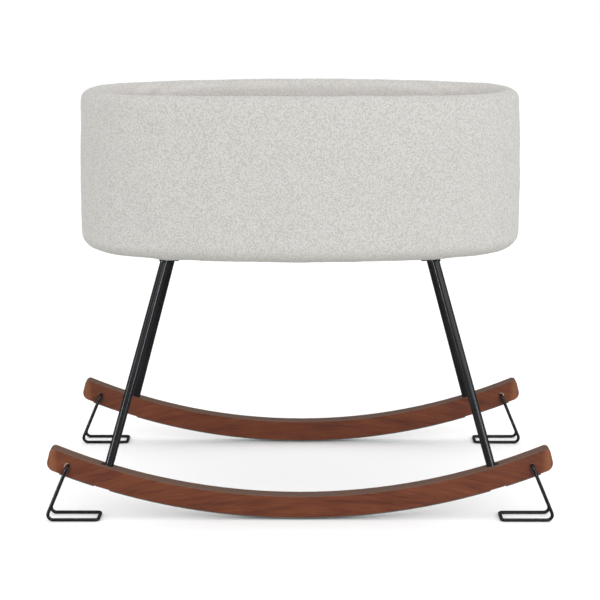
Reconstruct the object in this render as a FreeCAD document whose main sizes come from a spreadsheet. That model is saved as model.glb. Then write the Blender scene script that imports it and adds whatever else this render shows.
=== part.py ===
"""Bassinet on a rocking stand, as a parametric FreeCAD document.

Frame: origin on the floor below the middle of the basket, +X along the basket, +Y to the
rear, +Z up. Every length is in millimetres.
"""
import FreeCAD
import Part

import math
import os
import re
from collections import namedtuple

import Sketcher
from FreeCAD import Placement, Rotation, Vector

DIMENSIONS = [
    # alias, value, meaning
    ("basket_length", 830.0, "outside length of the basket"),
    ("basket_width", 423.0, "outside width of the basket"),
    ("side_radius", 992.0, "plan radius of each long side"),
    ("basket_base", 464.5, "height of the cover's underside"),
    ("basket_height", 301.2, "cover's underside to rim crest"),
    ("base_round", 30.0, "rounding of the cover's bottom edge"),
    ("fabric", 3.0, "cloth with its backing"),
    ("outer_foam", 14.0, "padding outside the wall ring"),
    ("ply_wall", 6.0, "bent plywood wall ring"),
    ("inner_foam", 12.8, "padding inside the wall ring"),
    ("seam_gap", 0.3, "space between neighbouring layers"),
    ("rim_turn", 42.0, "how far the cover reaches down inside the rim"),
    ("hem_reach", 60.0, "how far the cover turns in under the base board"),
    ("dust_cloth", 1.2, "dust cover's thickness"),
    ("dust_margin", 38.0, "dust cover's edge, in from the outline"),
    ("board", 12.0, "base board's thickness"),
    ("lining_floor", 2.0, "lining's floor thickness"),
    ("vent_radius", 12.0, "air hole in the base board"),
    ("vent_pitch", 90.0, "air holes along the board"),
    ("vent_offset", 45.0, "air holes either side of the middle"),
    ("mattress_height", 48.0, "mattress with its cover"),
    ("mattress_play", 6.0, "mattress to lining, all round"),
    ("mattress_round", 14.0, "rounding of the mattress's edges"),
    ("ticking", 2.0, "mattress cover's cloth"),
    ("rocker_radius", 1158.0, "mid line of the rocker's curve"),
    ("rocker_depth", 40.0, "rocker's depth along the radius"),
    ("rocker_width", 29.0, "rocker's thickness along Y"),
    ("rocker_span", 920.0, "between the rocker's sharp lower corners"),
    ("rocker_taper", 20.0, "upper corners lie this much closer, both ends together"),
    ("rocker_spacing", 477.0, "between the rockers' mid planes"),
    ("toe_round", 16.0, "rounding of the rocker's lower corner"),
    ("heel_round", 8.0, "rounding of the rocker's upper corner"),
    ("edge_round", 1.2, "softening of the rocker's long edges"),
    ("strip", 1.85, "glide strip's thickness"),
    ("strip_margin", 2.0, "glide strip's edge, in from the rocker's face"),
    ("glue", 0.15, "glue under the glide strip"),
    ("strip_inner_end", 346.0, "long strip's end, from the middle"),
    ("strip_outer_start", 374.0, "short strip's start, from the middle"),
    ("strip_outer_end", 436.0, "short strip's end, from the middle"),
    ("floor_lift", 3.0, "glide strip above the floor with the kickstands down"),
    ("tube_radius", 8.0, "leg tube's outside radius"),
    ("tube_wall", 1.5, "leg tube's wall"),
    ("foot_x", 347.0, "leg axis at the rocker's top, from the middle"),
    ("foot_inset", 4.0, "leg axis at the rocker's top, in from its mid plane"),
    ("head_x", 246.4, "leg axis at the leg plate, from the middle"),
    ("head_y", 148.0, "leg axis at the leg plate, from the middle"),
    ("socket_depth", 14.0, "leg's seat in the rocker"),
    ("socket_play", 0.15, "leg tube to socket"),
    ("insert_play", 0.1, "insert or spigot to the tube's bore"),
    ("insert_length", 25.0, "threaded insert in the leg's foot"),
    ("bolt_radius", 3.0, "rocker bolt's shank"),
    ("bolt_play", 0.15, "shank to its holes"),
    ("bolt_head_radius", 5.2, "rocker bolt's head"),
    ("bolt_head", 3.3, "rocker bolt's head height"),
    ("bolt_reach", 18.0, "shank beyond the bottom of the leg's seat"),
    ("hex_socket", 2.3, "corner radius of the bolt's hexagon"),
    ("bolt_recess_radius", 6.6, "counterbore under the rocker"),
    ("bolt_web", 19.0, "wood between the leg's seat and the counterbore"),
    ("washer_radius", 6.2, "washer's outside radius"),
    ("washer", 1.4, "washer's thickness"),
    ("plate", 3.0, "leg plate's thickness"),
    ("plate_width", 20.0, "leg plate's width, rounded about the leg"),
    ("plate_length", 78.0, "leg axis to the plate's inner edge"),
    ("plate_corner", 6.0, "corner radius at the plate's inner edge"),
    ("spigot_length", 40.0, "spigot below the leg plate"),
    ("grub_radius", 2.4, "locking screw's radius"),
    ("grub_play", 0.1, "locking screw to its hole"),
    ("grub_length", 4.6, "locking screw's length"),
    ("grub_drop", 22.0, "locking screw below the leg plate"),
    ("screw_first", 26.0, "leg axis to the nearest plate screw"),
    ("screw_pitch", 21.0, "between plate screws"),
    ("screw_radius", 2.4, "plate screw's shank"),
    ("screw_play", 0.2, "plate screw to its holes"),
    ("screw_head_radius", 4.6, "plate screw's head"),
    ("screw_head", 2.6, "plate screw's head height"),
    ("nut_radius", 3.6, "T-nut barrel"),
    ("nut_barrel", 9.0, "T-nut barrel's length in the board"),
    ("nut_flange_radius", 8.5, "T-nut flange"),
    ("nut_flange", 1.2, "T-nut flange's thickness"),
    ("wire_radius", 3.0, "kickstand wire"),
    ("pivot_x", 420.0, "kickstand's pivot, from the middle"),
    ("pivot_play", 0.05, "wire to its hole"),
    ("pivot_mouth_radius", 4.5, "widened mouth of the pivot hole"),
    ("pivot_mouth", 1.5, "depth of the widened mouth"),
    ("bar_offset", 20.8, "kickstand's bars either side of the rocker's mid plane"),
    ("stub_end", 4.5, "wire's end from the rocker's mid plane"),
    ("foot_outer", 462.5, "kickstand's outer corner, from the middle"),
    ("foot_inner", 366.7, "kickstand's cross bar, from the middle"),
    ("stub_bend", 5.5, "bend from stub to upright"),
    ("toe_bend", 9.5, "bend from upright to foot"),
    ("cross_bend", 5.5, "bend from foot to cross bar"),
]

FUNCTIONS = ("sqrt", "hypot", "min")
LARGE = 200.0  # any length longer than the pieces that it cuts
SCREWS_PER_PLATE = 3
SIDES = (("left", -1), ("right", 1))
ENDS = (("front", -1), ("rear", 1))

document = FreeCAD.newDocument("bassinet")
sheet = document.addObject("Spreadsheet::Sheet", "Sizes")
for row, (alias, size, meaning) in enumerate(DIMENSIONS, start=1):
    sheet.set(f"A{row}", meaning)
    sheet.set(f"B{row}", str(size))
    sheet.setAlias(f"B{row}", alias)
document.recompute()

parts = []

# Formulas in the sheet's names, used for drawing and for binding alike.
WALL = "(2 * fabric + outer_foam + ply_wall + inner_foam + 4 * seam_gap)"
RIM_ROUND = f"({WALL} / 2)"
CREST = "(basket_base + basket_height)"
RIM_CENTRE = f"({CREST} - {RIM_ROUND})"
PLY_OUT = "(fabric + outer_foam + 2 * seam_gap)"
PLY_IN = f"({PLY_OUT} + ply_wall)"
LINING_OUT = f"({WALL} - fabric)"
BOARD_LOW = "(basket_base + fabric + seam_gap)"
BOARD_TOP = f"({BOARD_LOW} + board)"
BOARD_MARGIN = f"({PLY_IN} + seam_gap)"
BOARD_ROUND = f"min(base_round - {BOARD_MARGIN}; board - 1)"
LINING_LOW = f"({BOARD_TOP} + nut_flange + seam_gap)"
LINING_TOP = f"({CREST} - rim_turn - seam_gap)"
MATTRESS_LOW = f"({LINING_LOW} + lining_floor + seam_gap)"
MATTRESS_MARGIN = f"({WALL} + mattress_play)"
PLATE_TOP = "(basket_base - dust_cloth)"
PLATE_LOW = f"({PLATE_TOP} - plate)"
WOOD_OUT = "(rocker_radius + rocker_depth / 2)"
WOOD_IN = "(rocker_radius - rocker_depth / 2)"
ARC_CENTRE = f"({WOOD_OUT} + glue + strip + floor_lift)"
PIVOT_Z = f"({ARC_CENTRE} - sqrt(rocker_radius ^ 2 - pivot_x ^ 2))"
FOOT_Z = f"({ARC_CENTRE} - sqrt({WOOD_IN} ^ 2 - foot_x ^ 2))"

Corner = namedtuple("Corner", "x y radius turn", defaults=(None, 0))
Corner.__doc__ = """A corner of a closed outline and the edge that arrives at it.

x, y and radius are formulas. With no radius the edge is straight; otherwise it is the
shorter arc of that radius, turning left (+1) or right (-1) along the outline.
"""


def linked(formula):
    """Return the formula with each name pointing at its cell of the sheet."""
    return re.sub(r"[a-z][a-z_]*", lambda m: m[0] if m[0] in FUNCTIONS else f"Sizes.{m[0]}", formula)


def size_of(formula):
    """Return a formula's value with the sheet's present numbers."""
    return float(sheet.evalExpression(linked(formula)))


def bind(thing, **formulas):
    """Bind properties of an object to formulas of the sheet."""
    for name, formula in formulas.items():
        thing.setExpression(name, linked(formula))
    return thing


def keep(thing, label):
    """Label a finished sub-part and list it for export."""
    thing.Label = label
    parts.append(thing)
    return thing


# ---------------------------------------------------------------- sketches and features


def new_sketch(body, name, plane, level=None):
    """Add a sketch on one of the body's own origin planes, raised to a level if given."""
    sketch = body.newObject("Sketcher::SketchObject", name)
    support = next(item for item in body.Origin.OriginFeatures if item.Role == plane)
    sketch.AttachmentSupport = [(support, "")]
    sketch.MapMode = "FlatFace"
    if level:
        sketch.setExpression("AttachmentOffset.Base.z", linked(level))
    return sketch


def constrain(sketch, kind, *reference, formula):
    """Add a dimension and bind it to a formula."""
    index = sketch.addConstraint(Sketcher.Constraint(kind, *reference, size_of(formula)))
    sketch.setExpression(f"Constraints[{index}]", linked(formula))


def arc_between(start, end, radius, turn):
    """Return the shorter arc of a radius from start to end, turning left (+1) or right (-1)."""
    chord = end - start
    rise = math.sqrt(max(radius ** 2 - (chord.Length / 2) ** 2, 0.0))
    sideways = Vector(-chord.y, chord.x, 0).normalize()
    centre = (start + end) / 2 + sideways * rise * turn
    first, last = (start, end) if turn > 0 else (end, start)
    angles = [math.atan2(point.y - centre.y, point.x - centre.x) for point in (first, last)]
    return Part.ArcOfCircle(Part.Circle(centre, Vector(0, 0, 1), radius), *angles)


def draw(sketch, corners):
    """Draw a closed outline and bind every corner and radius to its formula."""
    points = [Vector(size_of(corner.x), size_of(corner.y), 0) for corner in corners]
    edges = []
    for number, corner in enumerate(corners):
        start, end = points[number - 1], points[number]
        if corner.radius is None:
            edges.append((sketch.addGeometry(Part.LineSegment(start, end)), 1, 2))
        else:
            arc = arc_between(start, end, size_of(corner.radius), corner.turn)
            edges.append((sketch.addGeometry(arc), *((1, 2) if corner.turn > 0 else (2, 1))))
    for number, (edge, first, last) in enumerate(edges):
        before = edges[number - 1]
        sketch.addConstraint(Sketcher.Constraint("Coincident", before[0], before[2], edge, first))
    for (edge, first, last), corner in zip(edges, corners):
        constrain(sketch, "DistanceX", edge, last, formula=corner.x)
        constrain(sketch, "DistanceY", edge, last, formula=corner.y)
        if corner.radius is not None:
            constrain(sketch, "Radius", edge, formula=corner.radius)


def draw_circle(sketch, x, y, radius):
    """Draw a circle and bind its place and radius."""
    centre = Vector(size_of(x), size_of(y), 0)
    edge = sketch.addGeometry(Part.Circle(centre, Vector(0, 0, 1), size_of(radius)))
    constrain(sketch, "DistanceX", edge, 3, formula=x)
    constrain(sketch, "DistanceY", edge, 3, formula=y)
    constrain(sketch, "Radius", edge, formula=radius)


def pad(body, sketch, length, both_ways=False):
    """Extrude a sketch by a length, upwards or both ways."""
    feature = body.newObject("PartDesign::Pad", "Pad")
    feature.Profile = sketch
    bind(feature, Length=length)
    if both_ways:
        feature.SideType = "Symmetric"
    return feature


def pocket(body, sketch, length, reverse=False):
    """Cut a sketch's outline out of the body and check that it cut something."""
    document.recompute()
    before = body.Shape.Volume
    feature = body.newObject("PartDesign::Pocket", "Pocket")
    feature.Profile = sketch
    feature.Reversed = reverse
    bind(feature, Length=length)
    document.recompute()
    assert body.Shape.Volume < before, f"a pocket of {body.Name} cuts nothing"
    return feature


def fillet(body, base, radius, wanted):
    """Round the edges of a feature that a test picks."""
    document.recompute()
    names = [f"Edge{n}" for n, edge in enumerate(base.Shape.Edges, start=1) if wanted(edge)]
    assert names, f"no edges of {body.Name} to round"
    feature = body.newObject("PartDesign::Fillet", "Fillet")
    feature.Base = (base, names)
    bind(feature, Radius=radius)
    return feature


def level_edges(formula):
    """Return a test for edges that lie at one height."""
    height = size_of(formula)
    return lambda edge: all(abs(vertex.Z - height) < 0.01 for vertex in edge.Vertexes)


# ---------------------------------------------------------------- Part primitives


def rod(name, radius, length, place):
    """Return a cylinder with bound sizes at a placement."""
    cylinder = document.addObject("Part::Cylinder", name)
    bind(cylinder, Radius=radius, Height=length)
    cylinder.Placement = place
    return cylinder


def cut(name, base, tool):
    """Return base with tool taken away."""
    result = document.addObject("Part::Cut", name)
    result.Base = base
    result.Tool = tool
    return result


def together(name, things, kind="Part::MultiFuse"):
    """Return several objects fused, or grouped with kind Part::Compound."""
    result = document.addObject(kind, name)
    setattr(result, "Links" if kind == "Part::Compound" else "Shapes", things)
    return result


# ---------------------------------------------------------------- the oval plan


def oval(margin):
    """Return the basket's plan, four tangent arcs, moved in by a margin.

    The right-hand arc is split where it crosses the X axis, so that a section drawn in the
    XZ plane stands square on the outline's first corner.
    """
    half_length, half_width = "(basket_length / 2)", "(basket_width / 2)"
    end_radius = (
        f"(({half_length} ^ 2 + {half_width} ^ 2 - 2 * side_radius * {half_width})"
        f" / (2 * ({half_length} - side_radius)))"
    )
    end_centre = f"({half_length} - {end_radius})"
    side_centre = f"(side_radius - {half_width})"
    reach = f"(({end_radius} - {margin}) / hypot({end_centre}; {side_centre}))"
    meet_x, meet_y = f"{end_centre} * (1 + {reach})", f"{side_centre} * {reach}"
    small, large = f"{end_radius} - {margin}", f"side_radius - {margin}"
    return [
        Corner(f"{half_length} - {margin}", "0", small, 1),
        Corner(meet_x, meet_y, small, 1),
        Corner(f"-{meet_x}", meet_y, large, 1),
        Corner(f"-{meet_x}", f"-{meet_y}", small, 1),
        Corner(meet_x, f"-{meet_y}", large, 1),
    ]


def oval_slab(name, margin, level, length, round_low=None, round_top=None):
    """Return a body: an oval slab from a level up, with its edges rounded if asked."""
    body = document.addObject("PartDesign::Body", name)
    sketch = new_sketch(body, f"{name}_plan", "XY_Plane", level)
    draw(sketch, oval(margin))
    feature = pad(body, sketch, length)
    if round_low:
        feature = fillet(body, feature, round_low, level_edges(level))
    if round_top:
        fillet(body, feature, round_top, level_edges(f"{level} + {length}"))
    return body


def oval_ring(name, section):
    """Return a body: a section carried round the oval.

    The section's corners hold the margin in from the outline and the height. Turns are
    given in that frame, so they change sign where the margin becomes an X.
    """
    body = document.addObject("PartDesign::Body", name)
    path = new_sketch(body, f"{name}_path", "XY_Plane")
    draw(path, oval("0"))
    profile = new_sketch(body, f"{name}_section", "XZ_Plane")
    draw(profile, [
        corner._replace(x=f"basket_length / 2 - {corner.x}", turn=-corner.turn) for corner in section
    ])
    sweep = body.newObject("PartDesign::AdditivePipe", f"{name}_sweep")
    sweep.Profile = profile
    sweep.Spine = path
    return body


# ---------------------------------------------------------------- stand


def leg_line(side, end):
    """Return a leg axis: its point at the rocker's top and its direction up to the plate."""
    foot_y = size_of("rocker_spacing / 2 - foot_inset")
    foot = Vector(side * size_of("foot_x"), end * foot_y, size_of(FOOT_Z))
    head = Vector(side * size_of("head_x"), end * size_of("head_y"), size_of(PLATE_LOW))
    return foot, (head - foot).normalize()


def along_leg(side, end, distance):
    """Return a placement on a leg axis, its Z up the leg, at a distance from the rocker's top."""
    foot, up = leg_line(side, end)
    return Placement(foot + up * distance, Rotation(Vector(0, 0, 1), up))


def rocker_blank(name, end):
    """Return one rocker before its leg seats: a curved bar with rounded ends and pivot holes."""
    body = document.addObject("PartDesign::Body", name)
    half, upper = "rocker_span / 2", "(rocker_span / 2 - rocker_taper / 2)"
    low = f"{ARC_CENTRE} - sqrt({WOOD_OUT} ^ 2 - (rocker_span / 2) ^ 2)"
    top = f"{ARC_CENTRE} - sqrt({WOOD_IN} ^ 2 - {upper} ^ 2)"
    outline = new_sketch(body, f"{name}_outline", "XZ_Plane")
    draw(outline, [
        Corner(f"-{half}", low),
        Corner(half, low, WOOD_OUT, 1),
        Corner(upper, top),
        Corner(f"-{upper}", top, WOOD_IN, -1),
    ])
    bar = pad(body, outline, "rocker_width", both_ways=True)

    def standing_at(x_formula):
        reach = size_of(x_formula)
        return lambda edge: all(abs(abs(vertex.X) - reach) < 0.01 for vertex in edge.Vertexes) \
            and len({round(vertex.Y, 3) for vertex in edge.Vertexes}) == 2

    toes = fillet(body, bar, "toe_round", standing_at(half))
    ends = fillet(body, toes, "heel_round", standing_at(upper))
    face = size_of("rocker_width / 2")
    fillet(body, ends, "edge_round",
           lambda edge: all(abs(abs(vertex.Y) - face) < 0.01 for vertex in edge.Vertexes)
           and len({round(vertex.Y, 3) for vertex in edge.Vertexes}) == 1)
    holes = new_sketch(body, f"{name}_pivots", "XZ_Plane")
    for sign in ("-", ""):
        draw_circle(holes, f"{sign}pivot_x", PIVOT_Z, "wire_radius + pivot_play")
    through = pocket(body, holes, "rocker_width + 1")
    through.SideType = "Symmetric"
    for outward in (-1, 1):
        mouths = new_sketch(body, f"{name}_mouths", "XZ_Plane", f"{outward} * rocker_width / 2")
        for sign in ("-", ""):
            draw_circle(mouths, f"{sign}pivot_x", PIVOT_Z, "pivot_mouth_radius")
        pocket(body, mouths, "pivot_mouth", reverse=outward < 0)
    bind(body, **{"Placement.Base.y": f"{end} * rocker_spacing / 2"})
    return body


def make_rocker(name, end):
    """Make a rocker with a leg seat, a bolt hole and a counterbore at each leg."""
    tools = []
    for side_name, side in SIDES:
        seat = rod(f"seat_{name}_{side_name}", "tube_radius + socket_play", f"socket_depth + {LARGE}",
                   along_leg(side, end, -size_of("socket_depth")))
        bore = rod(f"bore_{name}_{side_name}", "bolt_radius + bolt_play", "bolt_web + 2",
                   along_leg(side, end, -size_of("socket_depth + bolt_web + 1")))
        recess = rod(f"recess_{name}_{side_name}", "bolt_recess_radius", "socket_depth + 20",
                     along_leg(side, end, -size_of("2 * socket_depth + bolt_web + 20")))
        tools += [seat, bore, recess]
    keep(cut(name, rocker_blank(f"{name}_blank", end), together(f"{name}_drilling", tools)), name)


def make_strip(name, end, start, finish):
    """Make one glide strip under a rocker, from one X to another."""
    body = document.addObject("PartDesign::Body", name)
    outer, inner = f"({WOOD_OUT} + glue + strip)", f"({WOOD_OUT} + glue)"

    def on_arc(x, radius):
        return f"{ARC_CENTRE} - sqrt({radius} ^ 2 - ({x}) ^ 2)"

    outline = new_sketch(body, f"{name}_outline", "XZ_Plane")
    draw(outline, [
        Corner(start, on_arc(start, outer)),
        Corner(finish, on_arc(finish, outer), outer, 1),
        Corner(finish, on_arc(finish, inner)),
        Corner(start, on_arc(start, inner), inner, -1),
    ])
    pad(body, outline, "rocker_width - 2 * strip_margin", both_ways=True)
    bind(body, **{"Placement.Base.y": f"{end} * rocker_spacing / 2"})
    keep(body, name)


def make_strips(end_name, end):
    """Make the long strip and the two short ones of a rocker."""
    make_strip(f"glide_strip_{end_name}_middle", end, "-strip_inner_end", "strip_inner_end")
    make_strip(f"glide_strip_{end_name}_left", end, "-strip_outer_end", "-strip_outer_start")
    make_strip(f"glide_strip_{end_name}_right", end, "strip_outer_start", "strip_outer_end")


def grub_place(side, end, from_axis):
    """Return the locking screw's placement, pointing out of the leg's inner side."""
    foot, up = leg_line(side, end)
    length = (size_of(PLATE_LOW) - foot.z) / up.z
    outward = up.cross(Vector(0, -end, 0).cross(up)).normalize()
    middle = foot + up * (length - size_of("grub_drop"))
    return Placement(middle + outward * from_axis, Rotation(Vector(0, 0, 1), outward))


def make_leg(name, side, end):
    """Make a leg: a tube from its seat in the rocker to a mitred top against the plate."""
    bottom = along_leg(side, end, -size_of("socket_depth"))
    foot, up = leg_line(side, end)
    length = str((size_of(PLATE_LOW) - foot.z) / up.z + size_of("socket_depth + tube_radius"))
    tube = cut(f"{name}_tube", rod(f"{name}_outside", "tube_radius", length, bottom),
               rod(f"{name}_bore", "tube_radius - tube_wall", length, bottom))
    above = document.addObject("Part::Box", f"{name}_mitre")
    bind(above, Length=f"{LARGE}", Width=f"{LARGE}", Height=f"{LARGE}")
    above.Placement.Base = Vector(side * size_of("head_x") - LARGE / 2, end * size_of("head_y") - LARGE / 2, 0)
    bind(above, **{"Placement.Base.z": PLATE_LOW})
    hole = rod(f"{name}_screw_hole", "grub_radius + grub_play", "tube_radius * 2",
               grub_place(side, end, 0.0))
    keep(cut(name, tube, together(f"{name}_trimming", [above, hole])), name)


def make_leg_plate(name, side, end):
    """Make a leg plate: a steel strap under the board with a slanted spigot welded to its outer end."""
    body = document.addObject("PartDesign::Body", f"{name}_flat")
    outline = new_sketch(body, f"{name}_outline", "XY_Plane", PLATE_LOW)
    half = "plate_width / 2"
    draw(outline, [
        Corner("plate_length", f"-{half}"),
        Corner("plate_length", half),
        Corner("0", half),
        Corner(f"-{half}", "0", half, 1),
        Corner("0", f"-{half}", half, 1),
    ])
    flat = pad(body, outline, "plate")
    inner_edge = size_of("plate_length")
    fillet(body, flat, "plate_corner", lambda edge: all(
        abs(vertex.X - inner_edge) < 0.01 and abs(vertex.Y) > 0.01 for vertex in edge.Vertexes)
        and len({round(vertex.Z, 3) for vertex in edge.Vertexes}) == 2)
    holes = new_sketch(body, f"{name}_holes", "XY_Plane", PLATE_LOW)
    for number in range(SCREWS_PER_PLATE):
        draw_circle(holes, f"screw_first + {number} * screw_pitch", "0", "screw_radius + screw_play")
    pocket(body, holes, "plate", reverse=True)
    foot, up = leg_line(side, end)
    head = Vector(side * size_of("head_x"), end * size_of("head_y"), 0)
    body.Placement = Placement(head, Rotation(Vector(1, 0, 0), Vector(up.x, up.y, 0)))
    reach = (size_of(PLATE_LOW) - foot.z) / up.z
    spigot = rod(f"{name}_spigot_rod", "tube_radius - tube_wall - insert_play", "spigot_length + plate / 2",
                 along_leg(side, end, reach - size_of("spigot_length")))
    blind = rod(f"{name}_screw_seat", "grub_radius + grub_play", "tube_radius",
                grub_place(side, end, size_of("tube_radius - 0.2 - grub_length")))
    keep(cut(name, together(f"{name}_welded", [body, spigot]), blind), name)


def screw_places(level):
    """Return a placement at a level for every plate screw, in line inwards from each leg."""
    places = []
    for _, side in SIDES:
        for _, end in ENDS:
            _, up = leg_line(side, end)
            inward = Vector(up.x, up.y, 0).normalize()
            head = Vector(side * size_of("head_x"), end * size_of("head_y"), size_of(level))
            for number in range(SCREWS_PER_PLATE):
                distance = size_of("screw_first") + number * size_of("screw_pitch")
                places.append(Placement(head + inward * distance, Rotation()))
    return places


def make_leg_fasteners():
    """Make the inserts, bolts and washers at the legs' feet and the locking screws above."""
    inserts, bolts, washers, grubs = [], [], [], []
    for side_name, side in SIDES:
        for end_name, end in ENDS:
            corner = f"{end_name}_{side_name}"
            seat = -size_of("socket_depth")
            inserts.append(cut(
                f"insert_{corner}",
                rod(f"insert_{corner}_outside", "tube_radius - tube_wall - insert_play", "insert_length",
                    along_leg(side, end, seat)),
                rod(f"insert_{corner}_bore", "bolt_radius + bolt_play", "insert_length",
                    along_leg(side, end, seat)),
            ))
            shelf = seat - size_of("bolt_web")
            washer_low = shelf - size_of("washer")
            washers.append(cut(
                f"washer_{corner}",
                rod(f"washer_{corner}_outside", "washer_radius", "washer", along_leg(side, end, washer_low)),
                rod(f"washer_{corner}_bore", "bolt_radius + bolt_play", "washer",
                    along_leg(side, end, washer_low)),
            ))
            head_low = washer_low - size_of("bolt_head")
            shank = rod(f"bolt_{corner}_shank", "bolt_radius", "bolt_head + washer + bolt_web + bolt_reach",
                        along_leg(side, end, head_low))
            head = rod(f"bolt_{corner}_head", "bolt_head_radius", "bolt_head", along_leg(side, end, head_low))
            hexagon = document.addObject("Part::Prism", f"bolt_{corner}_hexagon")
            hexagon.Polygon = 6
            bind(hexagon, Circumradius="hex_socket", Height="bolt_head * 2 / 3")
            hexagon.Placement = along_leg(side, end, head_low)
            bolts.append(cut(f"bolt_{corner}", together(f"bolt_{corner}_blank", [shank, head]), hexagon))
            grubs.append(rod(f"grub_{corner}", "grub_radius", "grub_length",
                             grub_place(side, end, size_of("tube_radius - 0.1 - grub_length"))))
    keep(together("foot_inserts", inserts, "Part::Compound"), "foot_inserts")
    keep(together("rocker_bolts", bolts, "Part::Compound"), "rocker_bolts")
    keep(together("bolt_washers", washers, "Part::Compound"), "bolt_washers")
    keep(together("locking_screws", grubs, "Part::Compound"), "locking_screws")


def make_kickstand(name, side, end):
    """Make a kickstand: one bent wire, hooked into the rocker's hole from both faces."""
    plane = {"y": 0.0, "stub": size_of("stub_end"), "bar": size_of("bar_offset")}
    pivot = Vector(side * size_of("pivot_x"), plane["y"], size_of(PIVOT_Z))
    ground = size_of("wire_radius")
    outer, inner = side * size_of("foot_outer"), side * size_of("foot_inner")
    half = [
        (Vector(pivot.x, -plane["stub"], pivot.z), None),
        (Vector(pivot.x, -plane["bar"], pivot.z), "stub_bend"),
        (Vector(outer, -plane["bar"], ground), "toe_bend"),
        (Vector(inner, -plane["bar"], ground), "cross_bend"),
    ]
    route = half + [(Vector(point.x, -point.y, point.z), bend) for point, bend in reversed(half)]
    wire = bent_wire(route)
    start = wire.Edges[0]
    ring = Part.makeCircle(size_of("wire_radius"), start.firstVertex().Point, start.tangentAt(0))
    kickstand = document.addObject("Part::Feature", name)
    kickstand.Shape = wire.makePipeShell([Part.Wire(ring)], True, False)
    expected = math.pi * size_of("wire_radius") ** 2 * wire.Length
    assert abs(kickstand.Shape.Volume / expected - 1) < 0.01, f"{name} has the wrong volume"
    kickstand.Placement.Base.y = end * size_of("rocker_spacing / 2")
    keep(kickstand, name)


def bent_wire(route):
    """Return a wire of straight runs joined by tangent arcs, from (corner, bend radius) pairs."""
    edges = []
    last = route[0][0]
    for (before, _), (corner, bend), (after, _) in zip(route, route[1:], route[2:]):
        into, out = (before - corner).normalize(), (after - corner).normalize()
        half_angle = into.getAngle(out) / 2
        radius = size_of(bend)
        setback = radius / math.tan(half_angle)
        start, finish = corner + into * setback, corner + out * setback
        inward = (into + out).normalize()
        middle = corner + inward * (radius / math.sin(half_angle) - radius)
        edges += [Part.LineSegment(last, start).toShape(), Part.Arc(start, middle, finish).toShape()]
        last = finish
    edges.append(Part.LineSegment(last, route[-1][0]).toShape())
    return Part.Wire(edges)


# ---------------------------------------------------------------- basket


def make_outer_cover(screw_paths):
    """Make the outer cover: up the outside, over the rolled rim and in under the base board."""
    inner_base = "(base_round - fabric)"
    inner_rim = f"({RIM_ROUND} - fabric)"
    section = [
        Corner("hem_reach", "basket_base"),
        Corner("hem_reach", "basket_base + fabric"),
        Corner("base_round", "basket_base + fabric"),
        Corner("fabric", "basket_base + base_round", inner_base, -1),
        Corner("fabric", RIM_CENTRE),
        Corner(RIM_ROUND, f"{CREST} - fabric", inner_rim, -1),
        Corner(LINING_OUT, RIM_CENTRE, inner_rim, -1),
        Corner(LINING_OUT, f"{CREST} - rim_turn"),
        Corner(WALL, f"{CREST} - rim_turn"),
        Corner(WALL, RIM_CENTRE),
        Corner(RIM_ROUND, CREST, RIM_ROUND, 1),
        Corner("0", RIM_CENTRE, RIM_ROUND, 1),
        Corner("0", "basket_base + base_round"),
        Corner("base_round", "basket_base", "base_round", 1),
    ]
    keep(cut("outer_cover", oval_ring("outer_cover_cloth", section), screw_paths), "outer_cover")


def make_wall():
    """Make the wall's inner layers: plywood ring, padding on both sides and the rim roll."""
    foam_out, roll_low = "(fabric + seam_gap)", RIM_CENTRE
    layer_top = f"({RIM_CENTRE} - seam_gap)"
    foam_round = "(base_round - fabric - seam_gap)"
    foam_edge = f"({PLY_OUT} - seam_gap)"

    def curve_foot(margin):
        return f"basket_base + base_round - sqrt({foam_round} ^ 2 - (base_round - {margin}) ^ 2)"

    keep(oval_ring("outer_padding", [
        Corner(foam_edge, layer_top),
        Corner(foam_out, layer_top),
        Corner(foam_out, "basket_base + base_round"),
        Corner(foam_edge, curve_foot(foam_edge), foam_round, 1),
    ]), "outer_padding")
    ply_foot = curve_foot(PLY_OUT)
    keep(oval_ring("wall_ring", [
        Corner(PLY_OUT, ply_foot),
        Corner(PLY_IN, ply_foot),
        Corner(PLY_IN, layer_top),
        Corner(PLY_OUT, layer_top),
    ]), "wall_ring")
    pad_in, pad_out = f"({PLY_IN} + seam_gap)", f"({LINING_OUT} - seam_gap)"
    pad_low = f"{BOARD_TOP} + nut_flange"
    keep(oval_ring("inner_padding", [
        Corner(pad_in, pad_low),
        Corner(pad_out, pad_low),
        Corner(pad_out, layer_top),
        Corner(pad_in, layer_top),
    ]), "inner_padding")
    roll = f"({RIM_ROUND} - fabric - seam_gap)"
    keep(oval_ring("rim_roll", [
        Corner(foam_out, roll_low),
        Corner(RIM_ROUND, f"{roll_low} + {roll}", roll, -1),
        Corner(pad_out, roll_low, roll, -1),
    ]), "rim_roll")


def make_lining():
    """Make the lining: an open cup of cloth inside the wall."""
    body = oval_slab("inner_lining", LINING_OUT, LINING_LOW, f"{LINING_TOP} - {LINING_LOW}")
    hollow = new_sketch(body, "inner_lining_hollow", "XY_Plane", LINING_TOP)
    draw(hollow, oval(WALL))
    pocket(body, hollow, f"{LINING_TOP} - {LINING_LOW} - lining_floor")
    keep(body, "inner_lining")


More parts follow.
